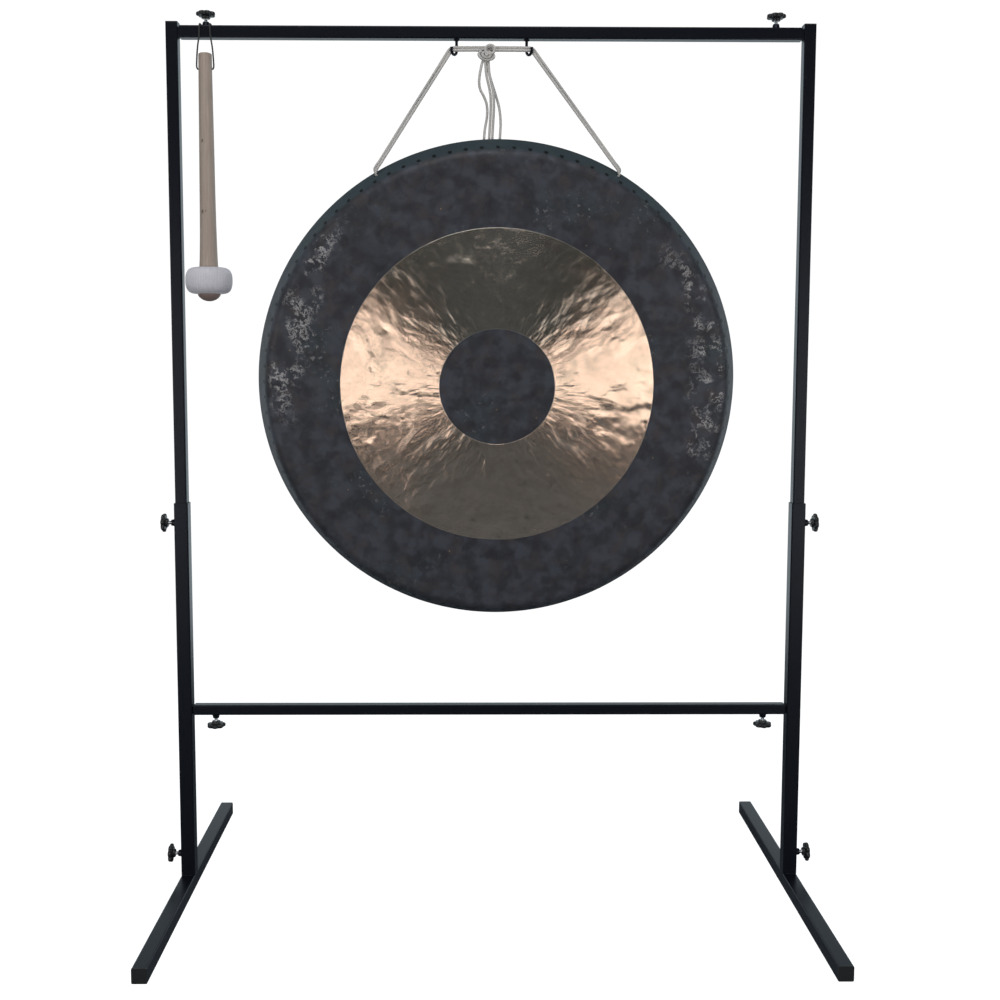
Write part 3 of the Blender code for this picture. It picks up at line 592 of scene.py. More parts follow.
def gong_finish():
    """Blue-black fire skin, the bright turned ring, chalky rubs, brass specks and punch marks."""
    paint = Finish("hammered_bronze")
    flat = paint.place(tuple(GONG_CENTRE), (GONG_TILT, 0, 0))
    x, back, up = paint.axes(flat)
    radius = (x * x + up * up) ** 0.5
    angle = x.math("ARCTAN2", x, up)
    wobble = (paint.noise(flat, 25.0, 4.0) - 0.5) * 0.0016
    ring = (paint.band(radius + wobble, DISC_R - RING_EDGE, DISC_R + RING_EDGE)
            * paint.band(radius + wobble, RING_R + RING_EDGE, RING_R - RING_EDGE))
    front = paint.band(back, 0.0012, -0.0012)
    ring = ring * front

    # Fire skin: soft mottles the size of the hammer's face, in slate, brown and teal.
    drift = paint.node("VectorMath", {"operation": "MULTIPLY_ADD"},
                       {0: paint.node("TexNoise", {}, {"Vector": flat, "Scale": 40.0}, "Color"),
                        1: (0.012, 0.012, 0.012), 2: flat})
    mottle = paint.cells(drift, 34.0)
    patch = paint.node("TexNoise", {}, {"Vector": drift, "Scale": 26.0, "Detail": 2.0,
                                        "Roughness": 0.55}, "Color")
    tint, tone, shade = paint.axes(patch)
    cloud = paint.noise(flat, 7.0, 4.0, 0.6)
    skin = paint.mix(paint.band(tint, 0.36, 0.62), (0.0350, 0.0350, 0.0420),
                     (0.0560, 0.0600, 0.0750))
    skin = paint.mix(paint.band(tone, 0.50, 0.66) * 0.65, skin, (0.0580, 0.0480, 0.0480))
    skin = paint.mix(paint.band(cloud, 0.48, 0.70) * 0.5, skin, (0.0380, 0.0520, 0.0590))
    skin = paint.mix(paint.band(shade, 0.54, 0.68) * 0.55, skin, (0.0215, 0.0210, 0.0260))
    skin = paint.mix(paint.band(mottle, 0.45, 0.80) * 0.35, skin, (0.0235, 0.0230, 0.0280))
    grain = paint.noise(flat, 420.0, 4.0, 0.65)
    skin = paint.mix(paint.band(grain, 0.52, 0.72) * 0.25, skin, (0.0850, 0.0920, 0.1080))

    # Chalky rubs where it leans when it is stacked: wisps that follow the hammer marks, in
    # clusters near the left and right edges and thinly elsewhere.
    side_zone = (paint.band(radius + (cloud - 0.5) * 0.12, 0.400, 0.450)
                 * paint.band(abs(x) + (cloud - 0.5) * 0.1, 0.29, 0.36)
                 * paint.band(abs(up - 0.10 + x * 0.12) + (cloud - 0.5) * 0.2, 0.26, 0.14))
    wisp_a = paint.noise(drift, 46.0, 5.0, 0.62)
    wisp_b = paint.noise(flat, 95.0, 4.0, 0.7)
    wisps = paint.band(abs(wisp_a - 0.5), 0.060, 0.010) * paint.band(wisp_b, 0.42, 0.56)
    wisps = wisps + paint.band(abs(wisp_b - 0.52), 0.050, 0.010) * paint.band(wisp_a, 0.46, 0.60)
    patchy = paint.band(paint.noise(flat, 21.0, 3.0), 0.44, 0.60)
    rubs = wisps * side_zone * patchy * paint.band(radius, 0.487, 0.470)
    light_rubs = wisps * paint.band(cloud, 0.52, 0.68) * paint.band(wisp_b, 0.54, 0.64)
    chalk = rubs * 0.75 + light_rubs * 0.35
    skin = paint.mix(chalk.math("MINIMUM", chalk, 1.0), skin, (0.46, 0.44, 0.44))
    speck_spot = paint.band(paint.cells(flat, 60.0), 0.075, 0.045)
    speck_pick, _, _ = paint.axes(paint.cells(flat, 60.0, "Color"))
    specks = speck_spot * paint.band(speck_pick, 0.90, 0.93)
    skin = paint.mix(specks, skin, (0.36, 0.24, 0.10))

    # A painted highlight, a lighter greenish band on the rim's upper part where light from above
    # falls, and punch marks in a row round the rim.
    rim = paint.band(back, 0.004, 0.013)
    skin = paint.mix(rim * paint.band(up, 0.10, 0.42) * 0.8, skin, (0.0360, 0.0560, 0.0640))
    hole_line = SHOULDER_END_R + (HOLE_DEPTH - SHOULDER_END_DEPTH) * math.tan(RIM_FLARE)
    pitch_angle = 2 * math.pi / round(2 * math.pi * hole_line / PUNCH_PITCH)
    to_punch = (angle / pitch_angle).to_nearest_whole() * (pitch_angle * hole_line)
    along_rim = (back - PUNCH_DEPTH) / 1.5
    punch_far = (to_punch * to_punch + along_rim * along_rim) ** 0.5 + (grain - 0.5) * 0.004
    on_rim = paint.band(radius, 0.470, 0.474)
    punch = paint.band(punch_far, PUNCH_R + 0.0006, PUNCH_R - 0.0006) * on_rim
    # The punch marks are real pits; their near-black colour is painted shade inside the pits.
    skin = paint.mix(punch * 0.9, skin, (0.0022, 0.0024, 0.0028))

    # Bright ring: warm bronze with smoke, brown smudges, fine turned lines and a painted
    # reflection:
    # duller olive sectors at its top and, less, at its bottom, where the turned grooves mirror dark
    # studio.
    smoke = paint.band(paint.noise(flat, 11.0, 5.0, 0.62), 0.50, 0.74)
    bright = paint.mix(smoke * 0.45, (0.93, 0.675, 0.520), (0.62, 0.50, 0.38))
    smudge = paint.noise(drift, 48.0, 6.0, 0.66)
    dark_sector_edge = paint.noise(flat, 19.0, 3.0)
    bright = paint.mix(paint.band(smudge, 0.60, 0.66) * 0.65, bright, (0.20, 0.150, 0.115))
    turned = paint.node("TexNoise", {"noise_dimensions": "1D"},
                        {"W": radius, "Scale": 900.0, "Detail": 3.0})
    bright = paint.mix(paint.band(turned, 0.45, 0.62) * 0.16, bright, (0.60, 0.48, 0.38))
    upwards = up / radius + (dark_sector_edge - 0.5) * 0.5
    # Painted reflection: the ring turns dull olive towards its top and, less, its bottom.
    painted_dark_sectors = paint.band(upwards, 0.50, 0.92) * 0.75 + paint.band(upwards, -0.50, -0.92) * 0.35
    bright = paint.mix(painted_dark_sectors, bright, (0.57, 0.545, 0.470))
    colour = paint.mix(ring, skin, bright)

    # The lathe's grooves throw each reflection along the radius: every place leans a little
    # inwards or outwards, by a random amount.
    spokes = paint.node("CombineXYZ", {}, {"X": x / radius * 14.0, "Y": up / radius * 14.0,
                                           "Z": radius * 36.0})
    ripple = paint.noise(spokes, 1.0, 1.6, 0.45)
    fine = paint.node("VectorMath", {"operation": "SCALE"}, {0: flat, "Scale": 9731.0})
    lean = paint.node("TexWhiteNoise", {"noise_dimensions": "3D"}, {"Vector": fine})
    lean = (lean - 0.5) * (2 * RADIAL_LEAN) * ring
    out_x = x / radius * lean
    out_up = up / radius * lean
    groove = paint.node("CombineXYZ", {}, {"X": out_x, "Y": out_up * -math.sin(GONG_TILT),
                                           "Z": out_up * math.cos(GONG_TILT)})
    normal = paint.node("VectorMath", {"operation": "ADD"},
                        {0: paint.node("NewGeometry", out="Normal"), 1: groove})
    normal = paint.node("VectorMath", {"operation": "NORMALIZE"}, {0: normal})
    pitted = paint.noise(flat, 260.0, 5.0, 0.6)
    height = ((mottle * 0.45 + pitted * 0.35 + rubs * 0.25) * (1 - ring * 0.70)
              + ripple * ring * RIPPLE - punch * 1.5 + specks * 0.2)
    normal = paint.bump(height, 0.0011, 0.55, normal)
    rough_skin = 0.50 + (grain - 0.5) * 0.25 + rubs * 0.25 + rim * 0.12
    return paint.set(Base_Color=colour, Metallic=0.05 + ring * 0.95,
                     Roughness=rough_skin * (1 - ring) + ring * 0.20,
                     Specular_IOR_Level=0.22, Normal=normal)


def drill_out(piece, drill):
    """Take the drill's shape out of a piece for good, and throw the drill away."""
    cut = piece.modifiers.new("hole", "BOOLEAN")
    cut.object = drill
    cut.operation = "DIFFERENCE"
    cut.solver = "EXACT"
    bpy.context.view_layer.update()
    worked_out = piece.evaluated_get(bpy.context.evaluated_depsgraph_get())
    drilled = bpy.data.meshes.new_from_object(worked_out)
    piece.modifiers.clear()
    piece.data = drilled
    bpy.data.objects.remove(drill, do_unlink=True)


bronze = gong_finish()
plate = piece_of("hammered_gong", bronze, None, (grid, profile_r))
turn = np.linspace(0, 2 * math.pi, 32, endpoint=False)[None, :]
reach = np.array([-0.01, 0.01])[:, None]
for side in (-1, 1):
    hole, normal, slope = rim_frame(side)
    drill_grid = (hole + (reach + 0 * turn)[..., None] * normal
                  + (HOLE_R * np.cos(turn) + 0 * reach)[..., None] * slope
                  + (HOLE_R * np.sin(turn) + 0 * reach)[..., None] * np.cross(normal, slope))
    drill_out(plate, piece_of("rim_drill", bronze, None, (drill_grid, np.array([0, 0.02]))))
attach(plate, "gong")
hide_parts("gong")


# ---- Stand ------------------------------------------------------------------------------------
# Square steel tubes in semi-gloss black powder coat: feet with welded posts, telescoping
# uprights, two crossbars on welded stubs, and J hooks and tapered nuts welded on.
def powder_coat():
    """Near-black paint with orange peel, faint rubs down the sliding tubes and a little dust."""
    paint = Finish("powder_coat")
    here = paint.place()
    x, y, z = paint.axes(here)
    peel = paint.noise(here, 650.0, 2.0, 0.45)
    cloud = paint.noise(here, 9.0, 3.0)
    streaks = paint.noise(paint.place(stretch=(1, 1, 22)), 900.0, 3.0, 0.7)
    slide = (paint.band(abs(x), 0.640, 0.645) * paint.band(z, 0.82, 0.86)
             * paint.band(z, 1.16, 1.02) * paint.band(streaks, 0.56, 0.66))
    dust = paint.band(paint.noise(here, 130.0, 6.0, 0.7), 0.58, 0.78) * paint.band(cloud, 0.45, 0.7)
    colour = paint.mix(cloud, (0.0028, 0.0036, 0.0062), (0.0042, 0.0052, 0.0088))
    colour = paint.mix(slide * 0.35, colour, (0.045, 0.046, 0.048))
    colour = paint.mix(dust * 0.10, colour, (0.12, 0.12, 0.115))
    return paint.set(Base_Color=colour, Roughness=0.34 + dust * 0.2 + slide * 0.12,
                     Specular_IOR_Level=0.22, Specular_Tint=(0.80, 0.86, 1.0),
                     Normal=paint.bump(peel - streaks * slide, 0.00007, 0.5))


def moulded_plastic():
    """Black moulded plastic with a fine spark-eroded grain and handled, shinier high spots."""
    paint = Finish("black_plastic")
    here = paint.place()
    grain = paint.noise(here, 2400.0, 3.0, 0.6)
    wear = paint.band(paint.noise(here, 120.0, 3.0), 0.50, 0.66)
    colour = paint.mix(wear * 0.5, (0.0085, 0.0088, 0.0095), (0.0150, 0.0155, 0.0165))
    return paint.set(Base_Color=colour, Roughness=0.46 - wear * 0.12,
                     Normal=paint.bump(grain, 0.00005, 0.5))


coat = powder_coat()
plastic = moulded_plastic()
for name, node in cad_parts.items():
    if name.endswith("cap") and not name.startswith("mallet"):
        finish = plastic
    else:
        finish = coat
    for place in range(len(node.data.materials)):
        node.data.materials[place] = finish


def round_line(start, way, out, a, level):
    """Places round a line: so far out of it, at an angle a about it, at a level along it."""
    way = np.asarray(way, dtype=float)
    spoke = np.cross(way, np.eye(3)[np.argmin(np.abs(way))])
    spoke /= np.linalg.norm(spoke)
    return (np.asarray(start, dtype=float) + (out * np.cos(a))[..., None] * spoke
            + (out * np.sin(a))[..., None] * np.cross(way, spoke) + level[..., None] * way)


def bead(middle, axis, radius, thick, wave=0.22):
    """A weld bead: a ring round an axis whose thickness pulses with each small puddle.

    place = middle + (radius + t cos b) spoke(a) + t sin b axis, where
    t = thick (1 + wave sin 17 a + wave / 2 sin(29 a + 1)).
    """
    a = np.linspace(0, 2 * math.pi, 73)[:, None]
    b = np.linspace(0, 2 * math.pi, 10, endpoint=False)[None, :]
    t = thick * (1 + wave * np.sin(17 * a) + 0.5 * wave * np.sin(29 * a + 1))
    grid = round_line(middle, axis, radius + t * np.cos(b), a, t * np.sin(b))
    return grid, np.linspace(0, 1, len(a))


def tube_bead(middle, size, thick):
    """A weld bead round a square tube that stands on a face along Z, as bead() is on a circle."""
    corner = 0.0025
    a = np.linspace(0, 2 * math.pi, 161)[:, None]
    b = np.linspace(0, 2 * math.pi, 8, endpoint=False)[None, :]
    reach = size / 2 - corner
    square = reach / np.maximum(np.abs(np.cos(a)), np.abs(np.sin(a)))
    square = np.minimum(square, reach * 1.32) + corner
    t = thick * (1 + 0.2 * np.sin(41 * a) + 0.1 * np.sin(67 * a + 1))
    out = square + t * np.cos(b)
    x, y, z = out * np.cos(a), out * np.sin(a), t * np.sin(b)
    return np.asarray(middle) + np.stack([x, y, z], axis=-1), np.linspace(0, 1, len(a))


UPRIGHT_FACE = 0.673
CLAMP_X = 0.594
TOP_CLAMP_X = 0.589
LOW_FACE_Z = 0.3866
TOP_FACE_Z = 1.8375
NUT_BASE_R = 0.008
CLAMPS = {"height": ((UPRIGHT_FACE, 0, 0.805), (1, 0, 0)),     # place on the tube, way out
          "foot": ((UPRIGHT_FACE, 0, 0.075), (1, 0, 0)),
          "lower": ((CLAMP_X, 0, LOW_FACE_Z), (0, 0, -1)),
          "top": ((TOP_CLAMP_X, 0, TOP_FACE_Z), (0, 0, 1))}
fixed_beads, sliding_beads = [], []
for side in (-1, 1):
    for kind, (face, out) in CLAMPS.items():
        beads = sliding_beads if kind == "top" else fixed_beads
        beads.append(bead(np.array(face) * (side, 1, 1), np.array(out) * (side, 1, 1),
                          NUT_BASE_R + 0.0003, 0.0011))
    sliding_beads.append(bead((side * HOOK_X, 0, 1.8122), (0, 0, 1), 0.0040, 0.0016))
    fixed_beads.append(tube_bead((side * 0.658, 0, 0.0302), 0.030, 0.0008))
for name, beads, body in (("weld_beads_of_base", fixed_beads, "stand_base"),
                          ("weld_beads_of_upper_frame", sliding_beads, "upper_frame")):
    welds = piece_of(name, coat, body, *beads, poles=False)

# ---- Clamp screws -----------------------------------------------------------------------------
# Eight M8 clamp screws: a bright zinc-plated stud with a 1.25 mm thread, moulded into a black
# seven-lobed star head, 40 mm across, that stands on a round neck.
HEAD_R = 0.020
HEAD_START = 0.015
NECK_HEIGHT = 0.0045
HEAD_FLATTEN = 0.76                 # height above the neck, against the profile's
HEAD_BORE = 0.011
LOBES = 7
LOBE_DEPTH = 0.0044
STUD_R = 0.0039
THREAD_PITCH = 0.00125
THREAD_DEPTH = 0.00055
STUD_REACH = {"height": 0.0022, "foot": 0.0017, "lower": 0.0017, "top": 0.0017}


def star_head_grid(start, way):
    """r(a, u) = r(u) (1 - cut(u) valley(a) depth / R), where valley = ((1 - cos 7a) / 2)^1.6."""
    # radius, height, how deep the valleys between the lobes cut
    profile = np.array([
        (0.0043, 0.0002, 0), (0.0078, 0.0000, 0), (0.0086, 0.0003, 0), (0.0090, 0.0010, 0),
        (0.0093, 0.0032, 0), (0.0102, 0.0045, .1), (0.0140, 0.0052, .5), (0.0176, 0.0058, .9),
        (0.0192, 0.0068, 1), (0.0199, 0.0084, 1), (0.0200, 0.0105, 1), (0.0199, 0.0128, 1),
        (0.0193, 0.0146, 1), (0.0180, 0.0159, .95), (0.0160, 0.0167, .75), (0.0130, 0.0171, .35),
        (0.0110, 0.0172, .1), (0.0098, 0.0170, 0), (0.0093, 0.0163, 0), (0.0088, 0.0161, 0),
        (0.0083, 0.0166, 0), (0.0070, 0.0172, 0), (0.0050, 0.0174, 0), (0.0025, 0.0175, 0),
        (0.0004, 0.0175, 0)])
    above_neck = np.maximum(profile[:, 1] - NECK_HEIGHT, 0)
    profile[:, 1] -= above_neck * (1 - HEAD_FLATTEN)
    fine = np.linspace(0, len(profile) - 1, 61)
    rows = np.arange(len(profile))
    radius, height, cut = (np.interp(fine, rows, column)[:, None] for column in profile.T)
    a = np.linspace(0, 2 * math.pi, LOBES * 16, endpoint=False)[None, :]
    valley = ((1 - np.cos(LOBES * a)) / 2) ** 1.6
    r = radius * (1 - cut * valley * LOBE_DEPTH / HEAD_R)
    return round_line(start, way, r, a, height), height[:, 0]


def stud_grid(start, way, length):
    """r(a, z) = stud radius - thread depth * triangle(z / pitch - a / 2 pi), plain at both ends."""
    z = np.linspace(0, length, round(length / THREAD_PITCH * 8))[:, None]
    a = np.linspace(0, 2 * math.pi, 20, endpoint=False)[None, :]
    turn = (z / THREAD_PITCH - a / (2 * math.pi)) % 1
    ends = np.clip(np.minimum(z, length - z) / 0.0008, 0, 1)
    r = STUD_R - THREAD_DEPTH * np.abs(2 * turn - 1) - (1 - ends) * 0.0005
    return round_line(start, way, r, a, z), z[:, 0]


zinc = Finish("zinc_plate")
here = zinc.place()
spangle = zinc.noise(here, 700.0, 3.0)
zinc_plate = zinc.set(Base_Color=zinc.mix(spangle, (0.62, 0.63, 0.66), (0.80, 0.80, 0.80)),
                      Metallic=1.0, Roughness=0.22 + spangle * 0.12,
                      Normal=zinc.bump(spangle, 0.00005, 0.3))
for side, word in ((-1, "left"), (1, "right")):
    for kind, (face, out) in CLAMPS.items():
        face = np.array(face) * (side, 1, 1)
        out = np.array(out) * (side, 1, 1)
        clamp = f"{word}_{kind}_clamp"
        head = piece_of(f"{clamp}_star", plastic, f"{clamp}_head",
                        star_head_grid(face + out * HEAD_START, out))
        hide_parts(f"{clamp}_head")
        reach = STUD_REACH[kind]
        stud = piece_of(f"{clamp}_thread", zinc_plate, f"{clamp}_stud",
                        stud_grid(face - out * reach, out, reach + HEAD_START + HEAD_BORE - 0.0006))
        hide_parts(f"{clamp}_stud")

# ---- Mallet -----------------------------------------------------------------------------------
# A turned pale-wood handle, a white fleece cover gathered over a wooden core and a domed wooden
# end.  It hangs from the left top clamp by a loop of thin black cord through its cross hole.
MALLET_X = -0.589
MALLET_Y = -0.0148
HANDLE_TOP = 1.7795
HANDLE_BOTTOM = 1.3450
HANDLE_TOP_R = 0.0136
CROSS_HOLE_Z = 1.7480
CROSS_HOLE_R = 0.0030
HEAD_TOP = 1.3444
HEAD_BOTTOM = 1.2894
DRUM_R = 0.049
END_R = 0.0235
END_BOTTOM = 1.2740
mallet_middle = np.array((MALLET_X, MALLET_Y, 0.0))


def turned_grid(radius, height, around, shape=None):
    """A turned shape about the mallet's axis: r(a, z) = radius(z) (1 + shape(a, z))."""
    a = np.linspace(0, 2 * math.pi, around, endpoint=False)[None, :]
    r = radius[:, None] * (1 + (shape(a, height[:, None]) if shape else 0 * a))
    level = np.broadcast_to(height[:, None], r.shape)
    return np.stack([r * np.cos(a), r * np.sin(a), level], axis=-1) + mallet_middle, height


def wood_finish(name, pale, deep, knots=()):
    """Pale wood: lengthwise grain, rays, pores, grey handling marks and a few small knots."""
    paint = Finish(name)
    here = paint.place((MALLET_X, MALLET_Y, 0), stretch=(1, 1, 14))
    whole = paint.place((MALLET_X, MALLET_Y, 0))
    x, y, z = paint.axes(whole)
    long_grain = paint.noise(here, 260.0, 5.0, 0.6)
    growth = paint.node("TexWave", {"bands_direction": "X"},
                        {"Vector": here, "Scale": 55.0, "Distortion": 5.0, "Detail": 3.0,
                         "Detail Scale": 1.2})
    pores = paint.noise(paint.place((MALLET_X, MALLET_Y, 0), stretch=(1, 1, 9)), 1900.0, 3.0, 0.7)
    colour = paint.mix(paint.band(long_grain, 0.3, 0.75), pale, deep)
    colour = paint.mix(growth * 0.22, colour, tuple(c * 0.72 for c in deep))
    colour = paint.mix(paint.band(pores, 0.60, 0.72) * 0.35, colour, tuple(c * 0.45 for c in deep))
    handled = paint.band(paint.noise(whole, 14.0, 4.0), 0.48, 0.72)
    colour = paint.mix(handled * 0.28, colour, tuple(c * 0.70 for c in pale))
    for knot_x, knot_z, size in knots:
        away = ((x - knot_x) * (x - knot_x) * 3.2 + (z - knot_z) * (z - knot_z)) ** 0.5
        away = away + (long_grain - 0.5) * size * 0.9
        spot = paint.band(away, size, size * 0.25) * paint.band(y, 0.004, -0.004)
        colour = paint.mix(spot * 0.8, colour, (0.070, 0.040, 0.022))
    return paint.set(Base_Color=colour, Roughness=0.55 + handled * 0.10,
                     Normal=paint.bump(long_grain * 0.5 - pores * 0.6, 0.00022, 0.5))


handle_wood = wood_finish("pale_wood", (0.420, 0.340, 0.288), (0.350, 0.278, 0.232),
                          ((-0.006, 1.6015, 0.0052), (-0.008, 1.4578, 0.0066),
                           (-0.001, 1.4590, 0.0034)))
end_wood = wood_finish("end_wood", (0.300, 0.215, 0.195), (0.240, 0.165, 0.145))
z = np.concatenate([HANDLE_TOP - 0.0026 * (1 - np.cos(np.linspace(0.05, 1, 8) * math.pi / 2)),
                    np.linspace(HANDLE_TOP - 0.0040, HANDLE_BOTTOM - 0.004, 150)])
share = (HANDLE_TOP - z) / (HANDLE_TOP - HANDLE_BOTTOM)
radius = HANDLE_TOP_R + 0.0036 * share + 0.0021 * np.clip(share, 0, 1) ** 9
radius[:8] -= 0.0030 * (1 - np.sin(np.linspace(0.05, 1, 8) * math.pi / 2))
handle = piece_of("turned_handle", handle_wood, None, turned_grid(
    radius, z, 96, lambda a, z: 0.008 * np.sin(2 * a + 9 * z) + 0.004 * np.sin(5 * a - 31 * z)))
turn = np.linspace(0, 2 * math.pi, 24, endpoint=False)[None, :]
reach = np.array([-0.03, 0.03])[:, None]
drill_grid = np.stack([MALLET_X + reach + 0 * turn,
                       MALLET_Y + CROSS_HOLE_R * np.cos(turn) + 0 * reach,
                       CROSS_HOLE_Z + CROSS_HOLE_R * np.sin(turn) + 0 * reach], axis=-1)
drill_out(handle, piece_of("cross_drill", handle_wood, None, (drill_grid, np.array([0, 0.06]))))
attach(handle, "mallet")
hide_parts("mallet_handle")

dome = np.linspace(0, math.pi / 2, 22)
dome_top = HEAD_BOTTOM - 0.001
end_z = np.concatenate([[HEAD_BOTTOM + 0.003, HEAD_BOTTOM - 0.0009],
                        dome_top - (dome_top - END_BOTTOM) * np.sin(dome[1:]) ** 1.25])
end_r = np.concatenate([[END_R - 0.0010, END_R - 0.0003], END_R * np.cos(dome[1:]) ** 1.05])
end_r[-1] = 0.0004
end = piece_of("domed_end", end_wood, "mallet", turned_grid(end_r, end_z, 72))
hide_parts("mallet_end_cap")

PLEATS = 54
pleat_draw = np.random.default_rng(5)
pleat_phase = pleat_draw.uniform(0, 2 * math.pi, 3)
HEAD_MIDDLE = (HEAD_TOP + HEAD_BOTTOM) / 2
HEAD_HALF = (HEAD_TOP - HEAD_BOTTOM) / 2
around_drum = np.linspace(0.02, math.pi - 0.02, 74)
drum_rise = np.cos(around_drum)
drum_z = HEAD_MIDDLE + HEAD_HALF * np.sign(drum_rise) * np.abs(drum_rise) ** 0.80
drum_r = 0.0190 + (DRUM_R - 0.0196) * np.sin(around_drum) ** 0.56


def gathers(a, z):
    """Pleats that are soft round the side and bunch up towards the two gathered ends."""
    bunch = np.clip(np.abs(z - HEAD_MIDDLE) / HEAD_HALF, 0, 1) ** 3
    drift = 0.5 * np.sin(3 * a + pleat_phase[0]) + 0.35 * np.sin(7 * a + pleat_phase[1] + 60 * z)
    fold = np.abs(np.sin(PLEATS / 2 * a + drift)) ** 0.7 - 0.6
    lumps = 0.006 * np.sin(4 * a + pleat_phase[2]) + 0.004 * np.sin(9 * a - 80 * z)
    return fold * (0.014 + 0.030 * bunch) + lumps * (1 - bunch) - 0.006


fleece = Finish("white_fleece")
here = fleece.place()
tuft = fleece.cells(here, 620.0)
fuzz = fleece.noise(here, 2600.0, 4.0, 0.7)
soil = fleece.noise(here, 32.0, 4.0)
fleece_colour = fleece.mix(fleece.band(soil, 0.42, 0.75) * 0.5, (0.66, 0.640, 0.700),
                           (0.53, 0.505, 0.560))
# Painted shade: the fleece is darker in the sunken gaps between its tufts.
fleece_colour = fleece.mix(fleece.band(tuft, 0.25, 0.75) * 0.30, fleece_colour, (0.46, 0.44, 0.46))
cover_finish = fleece.set(Base_Color=fleece_colour, Roughness=0.95, Specular_IOR_Level=0.15,
                          Sheen_Weight=0.5, Sheen_Roughness=0.5,
                          Normal=fleece.bump(fuzz * 0.6 - tuft, 0.0006, 0.7))
cover = piece_of("gathered_cover", cover_finish, "mallet",
                 turned_grid(drum_r, drum_z, PLEATS * 8, gathers))
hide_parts("mallet_head_cover", "mallet_head_core")

# The loop is one two-ply black cord, knotted behind the clamp's nut.  Half of it is listed, as
# (across, y, z) from the mallet's middle: round the nut, down the bar's front, to the handle.
LOOP_R = 0.00175
LOOP_STEP = 0.0006
LOOP_AROUND = 20
BAR_FRONT_Z = 1.8125
OVER_BAR = [(0.0096, 0.0040, 1.8403), (0.0104, -0.0030, 1.8403), (0.0104, -0.0090, 1.8402),
            (0.0105, -0.0128, 1.8388), (0.0107, -0.0147, 1.8350), (0.0112, MALLET_Y, 1.8240),
            (0.0120, MALLET_Y, BAR_FRONT_Z)]
BELOW = [(0.0143, 1.7980), (0.0160, 1.7830), (0.0169, 1.7700), (0.0174, 1.7605), (0.0176, 1.7555),
         (0.0170, 1.7508), (0.0153, 1.7482), (0.0128, 1.7480)]
loop_half = [(0.0028, 0.0112, 1.8403), (0.0066, 0.0085, 1.8403)] + OVER_BAR
loop_half += [(x, MALLET_Y, z) for x, z in BELOW]
loop_route = [(MALLET_X - x, y, z) for x, y, z in loop_half] + [(MALLET_X, MALLET_Y, CROSS_HOLE_Z)]
loop_route += [(MALLET_X + x, y, z) for x, y, z in loop_half[::-1]]
loop_path = even_route(loop_route, LOOP_STEP)


def two_ply(a, s):
    """Two plies twisted together: r = R (0.80 + 0.22 |cos(a - 2 pi s / 7 mm)|)."""
    return 0.80 + 0.22 * np.abs(np.cos(a - 2 * math.pi * s / 0.007))


black = Finish("black_cord")
here = black.place()
lint = black.noise(here, 4200.0, 3.0, 0.7)
black_cord = black.set(Base_Color=black.mix(lint, (0.010, 0.010, 0.011), (0.030, 0.030, 0.031)),
                       Roughness=0.8, Sheen_Weight=0.2, Normal=black.bump(lint, 0.0002, 0.5))
loop = piece_of("hanging_loop", black_cord, None,
                tube_grid(loop_path, LOOP_R, LOOP_AROUND, two_ply))
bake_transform(loop)
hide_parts("mallet_loop", "mallet_loop_over_bar")
turn = np.linspace(0.3, 2 * math.pi + 0.1, 160)
tie = np.stack([0.0019 * (np.sin(turn) + 2 * np.sin(2 * turn)), -0.0011 * np.sin(3 * turn),
                0.0012 * (np.cos(turn) - 2 * np.cos(2 * turn))], axis=1)
tie_path = even_route(tie + (MALLET_X, 0.0112, 1.8405), LOOP_STEP)
tie_knot = piece_of("loop_knot", black_cord, "upper_frame",
                    tube_grid(tie_path, LOOP_R * 0.9, LOOP_AROUND, two_ply))
loop_path[::3].tolist() + [loop_path[-1].tolist()]

# ---- Floor, backdrop and light ----------------------------------------------------------------
# A pale floor that fades into a white surround, two softboxes low on either side of the camera
# and one high above it, and a dim studio with light from behind on the tubes' sides.
FLOOR_R = 3.2
FLOOR_Z = -0.0006
FADE_FROM = 1.3
WHITE = 1.04                        # strength of the white that is seen straight
turn = np.linspace(0, 2 * math.pi, 96, endpoint=False)[None, :]
rings = np.array([[FLOOR_R], [0.001]])
floor_grid = np.stack([rings * np.cos(turn), rings * np.sin(turn), FLOOR_Z + 0 * rings * turn],
                      axis=-1)
ground = Finish("pale_floor")
where = ground.place()
gx, gy, _ = ground.axes(where)
far = (gx * gx + gy * gy) ** 0.5
seen = ground.node("LightPath", out="Is Camera Ray")
matt = ground.node("BsdfDiffuse", {}, {"Color": (0.24, 0.27, 0.30)})
glow = ground.node("Emission", {}, {"Color": (1.0, 1.0, 1.0), "Strength": seen * WHITE})
shell = ground.node("AddShader", {}, {0: matt, 1: glow})
fading = ground.node("MixShader", {}, {0: ground.band(far, FADE_FROM, FLOOR_R * 0.97), 1: shell,
                                       2: ground.node("BsdfTransparent")})
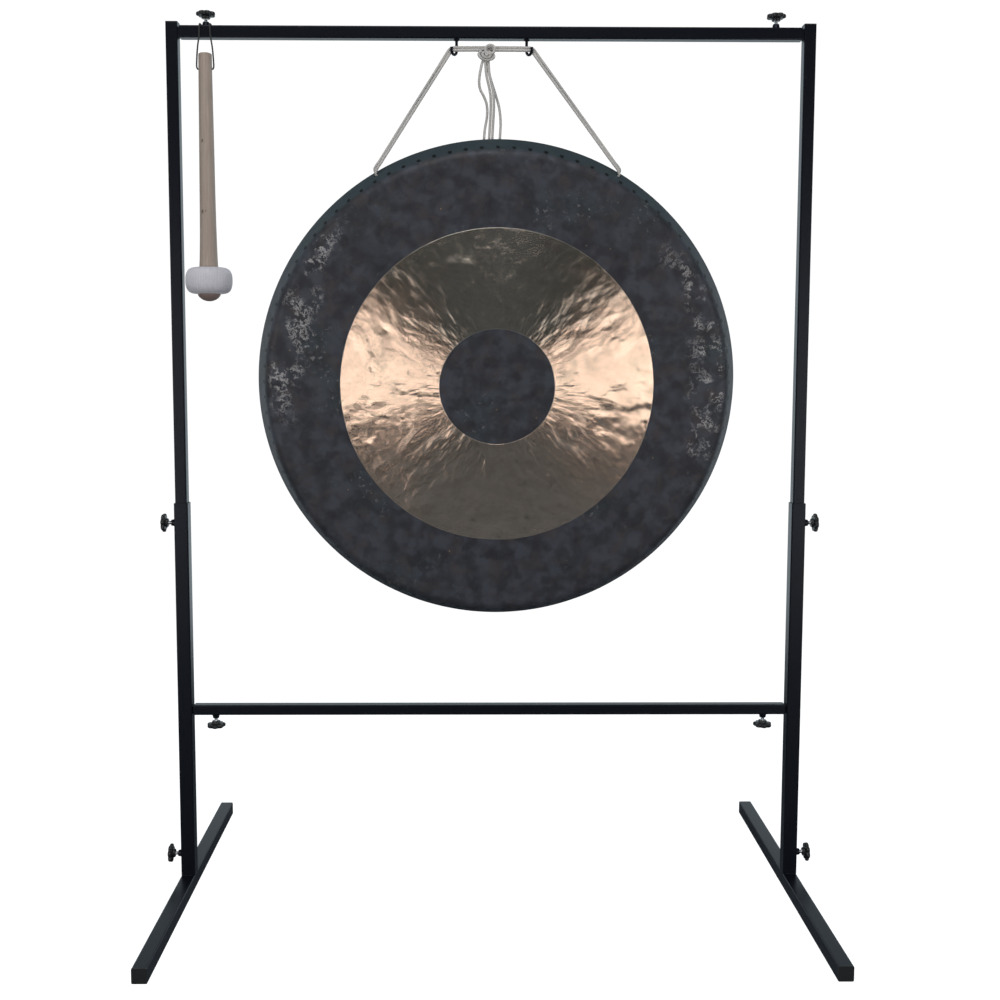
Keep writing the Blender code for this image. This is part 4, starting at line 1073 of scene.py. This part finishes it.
output = ground.tree.nodes["Material Output"]
ground.tree.links.new(fading.socket, output.inputs["Surface"])
floor = piece_of("floor", ground.material, None, (floor_grid, np.array([0, 1])), poles=False)


def softbox(name, place, aim_at, width, height, radiance, colour=(1, 1, 1)):
    """A flat rectangular lamp that faces a place; its power gives the radiance asked for."""
    lamp = bpy.data.lights.new(name, "AREA")
    lamp.shape = "RECTANGLE"
    lamp.size = width
    lamp.size_y = height
    lamp.energy = radiance * math.pi * width * height
    lamp.color = colour
    holder = bpy.data.objects.new(name, lamp)
    holder.location = place
    holder.rotation_euler = (Vector(aim_at) - Vector(place)).to_track_quat("-Z", "Y").to_euler()
    bpy.context.scene.collection.objects.link(holder)


softbox("left_softbox", (-2.20, -2.75, 0.86), (-0.1, 0, 1.05), 1.7, 1.65, 3.5, (1.0, 0.975, 0.945))
softbox("right_softbox", (2.20, -2.75, 0.86), (0.1, 0, 1.05), 1.7, 1.65, 3.5, (1.0, 0.975, 0.945))
softbox("high_softbox", (-0.3, -2.2, 4.1), (0, 0, 1.0), 2.6, 1.8, 4.5, (0.97, 0.985, 1.0))

world = bpy.data.worlds.new("studio")
world.use_nodes = True
bpy.context.scene.world = world
studio = Paint(world.node_tree)
way = studio.node("TexCoord", out="Generated")
split = studio.node("SeparateXYZ", {}, {"Vector": way}).socket.node
wx, wy, wz = (Wire(studio.tree, output) for output in split.outputs)
behind = studio.band(wy, -0.05, 0.55) * studio.band(abs(wz), 0.60, 0.20) * 1.30
sides = studio.band(abs(wx), 0.60, 0.95) * studio.band(abs(wz), 0.50, 0.20) * 0.25
overhead = studio.band(wz, 0.55, 0.95) * 0.20
seen_here = studio.node("LightPath", out="Is Camera Ray")
strength = (behind + sides + overhead + 0.03) * (1 - seen_here) + seen_here * WHITE
feed(studio.tree, studio.tree.nodes["Background"].inputs["Strength"], strength)
feed(studio.tree, studio.tree.nodes["Background"].inputs["Color"],
     studio.mix(seen_here, (0.80, 0.93, 1.0), (1.0, 1.0, 1.0)))
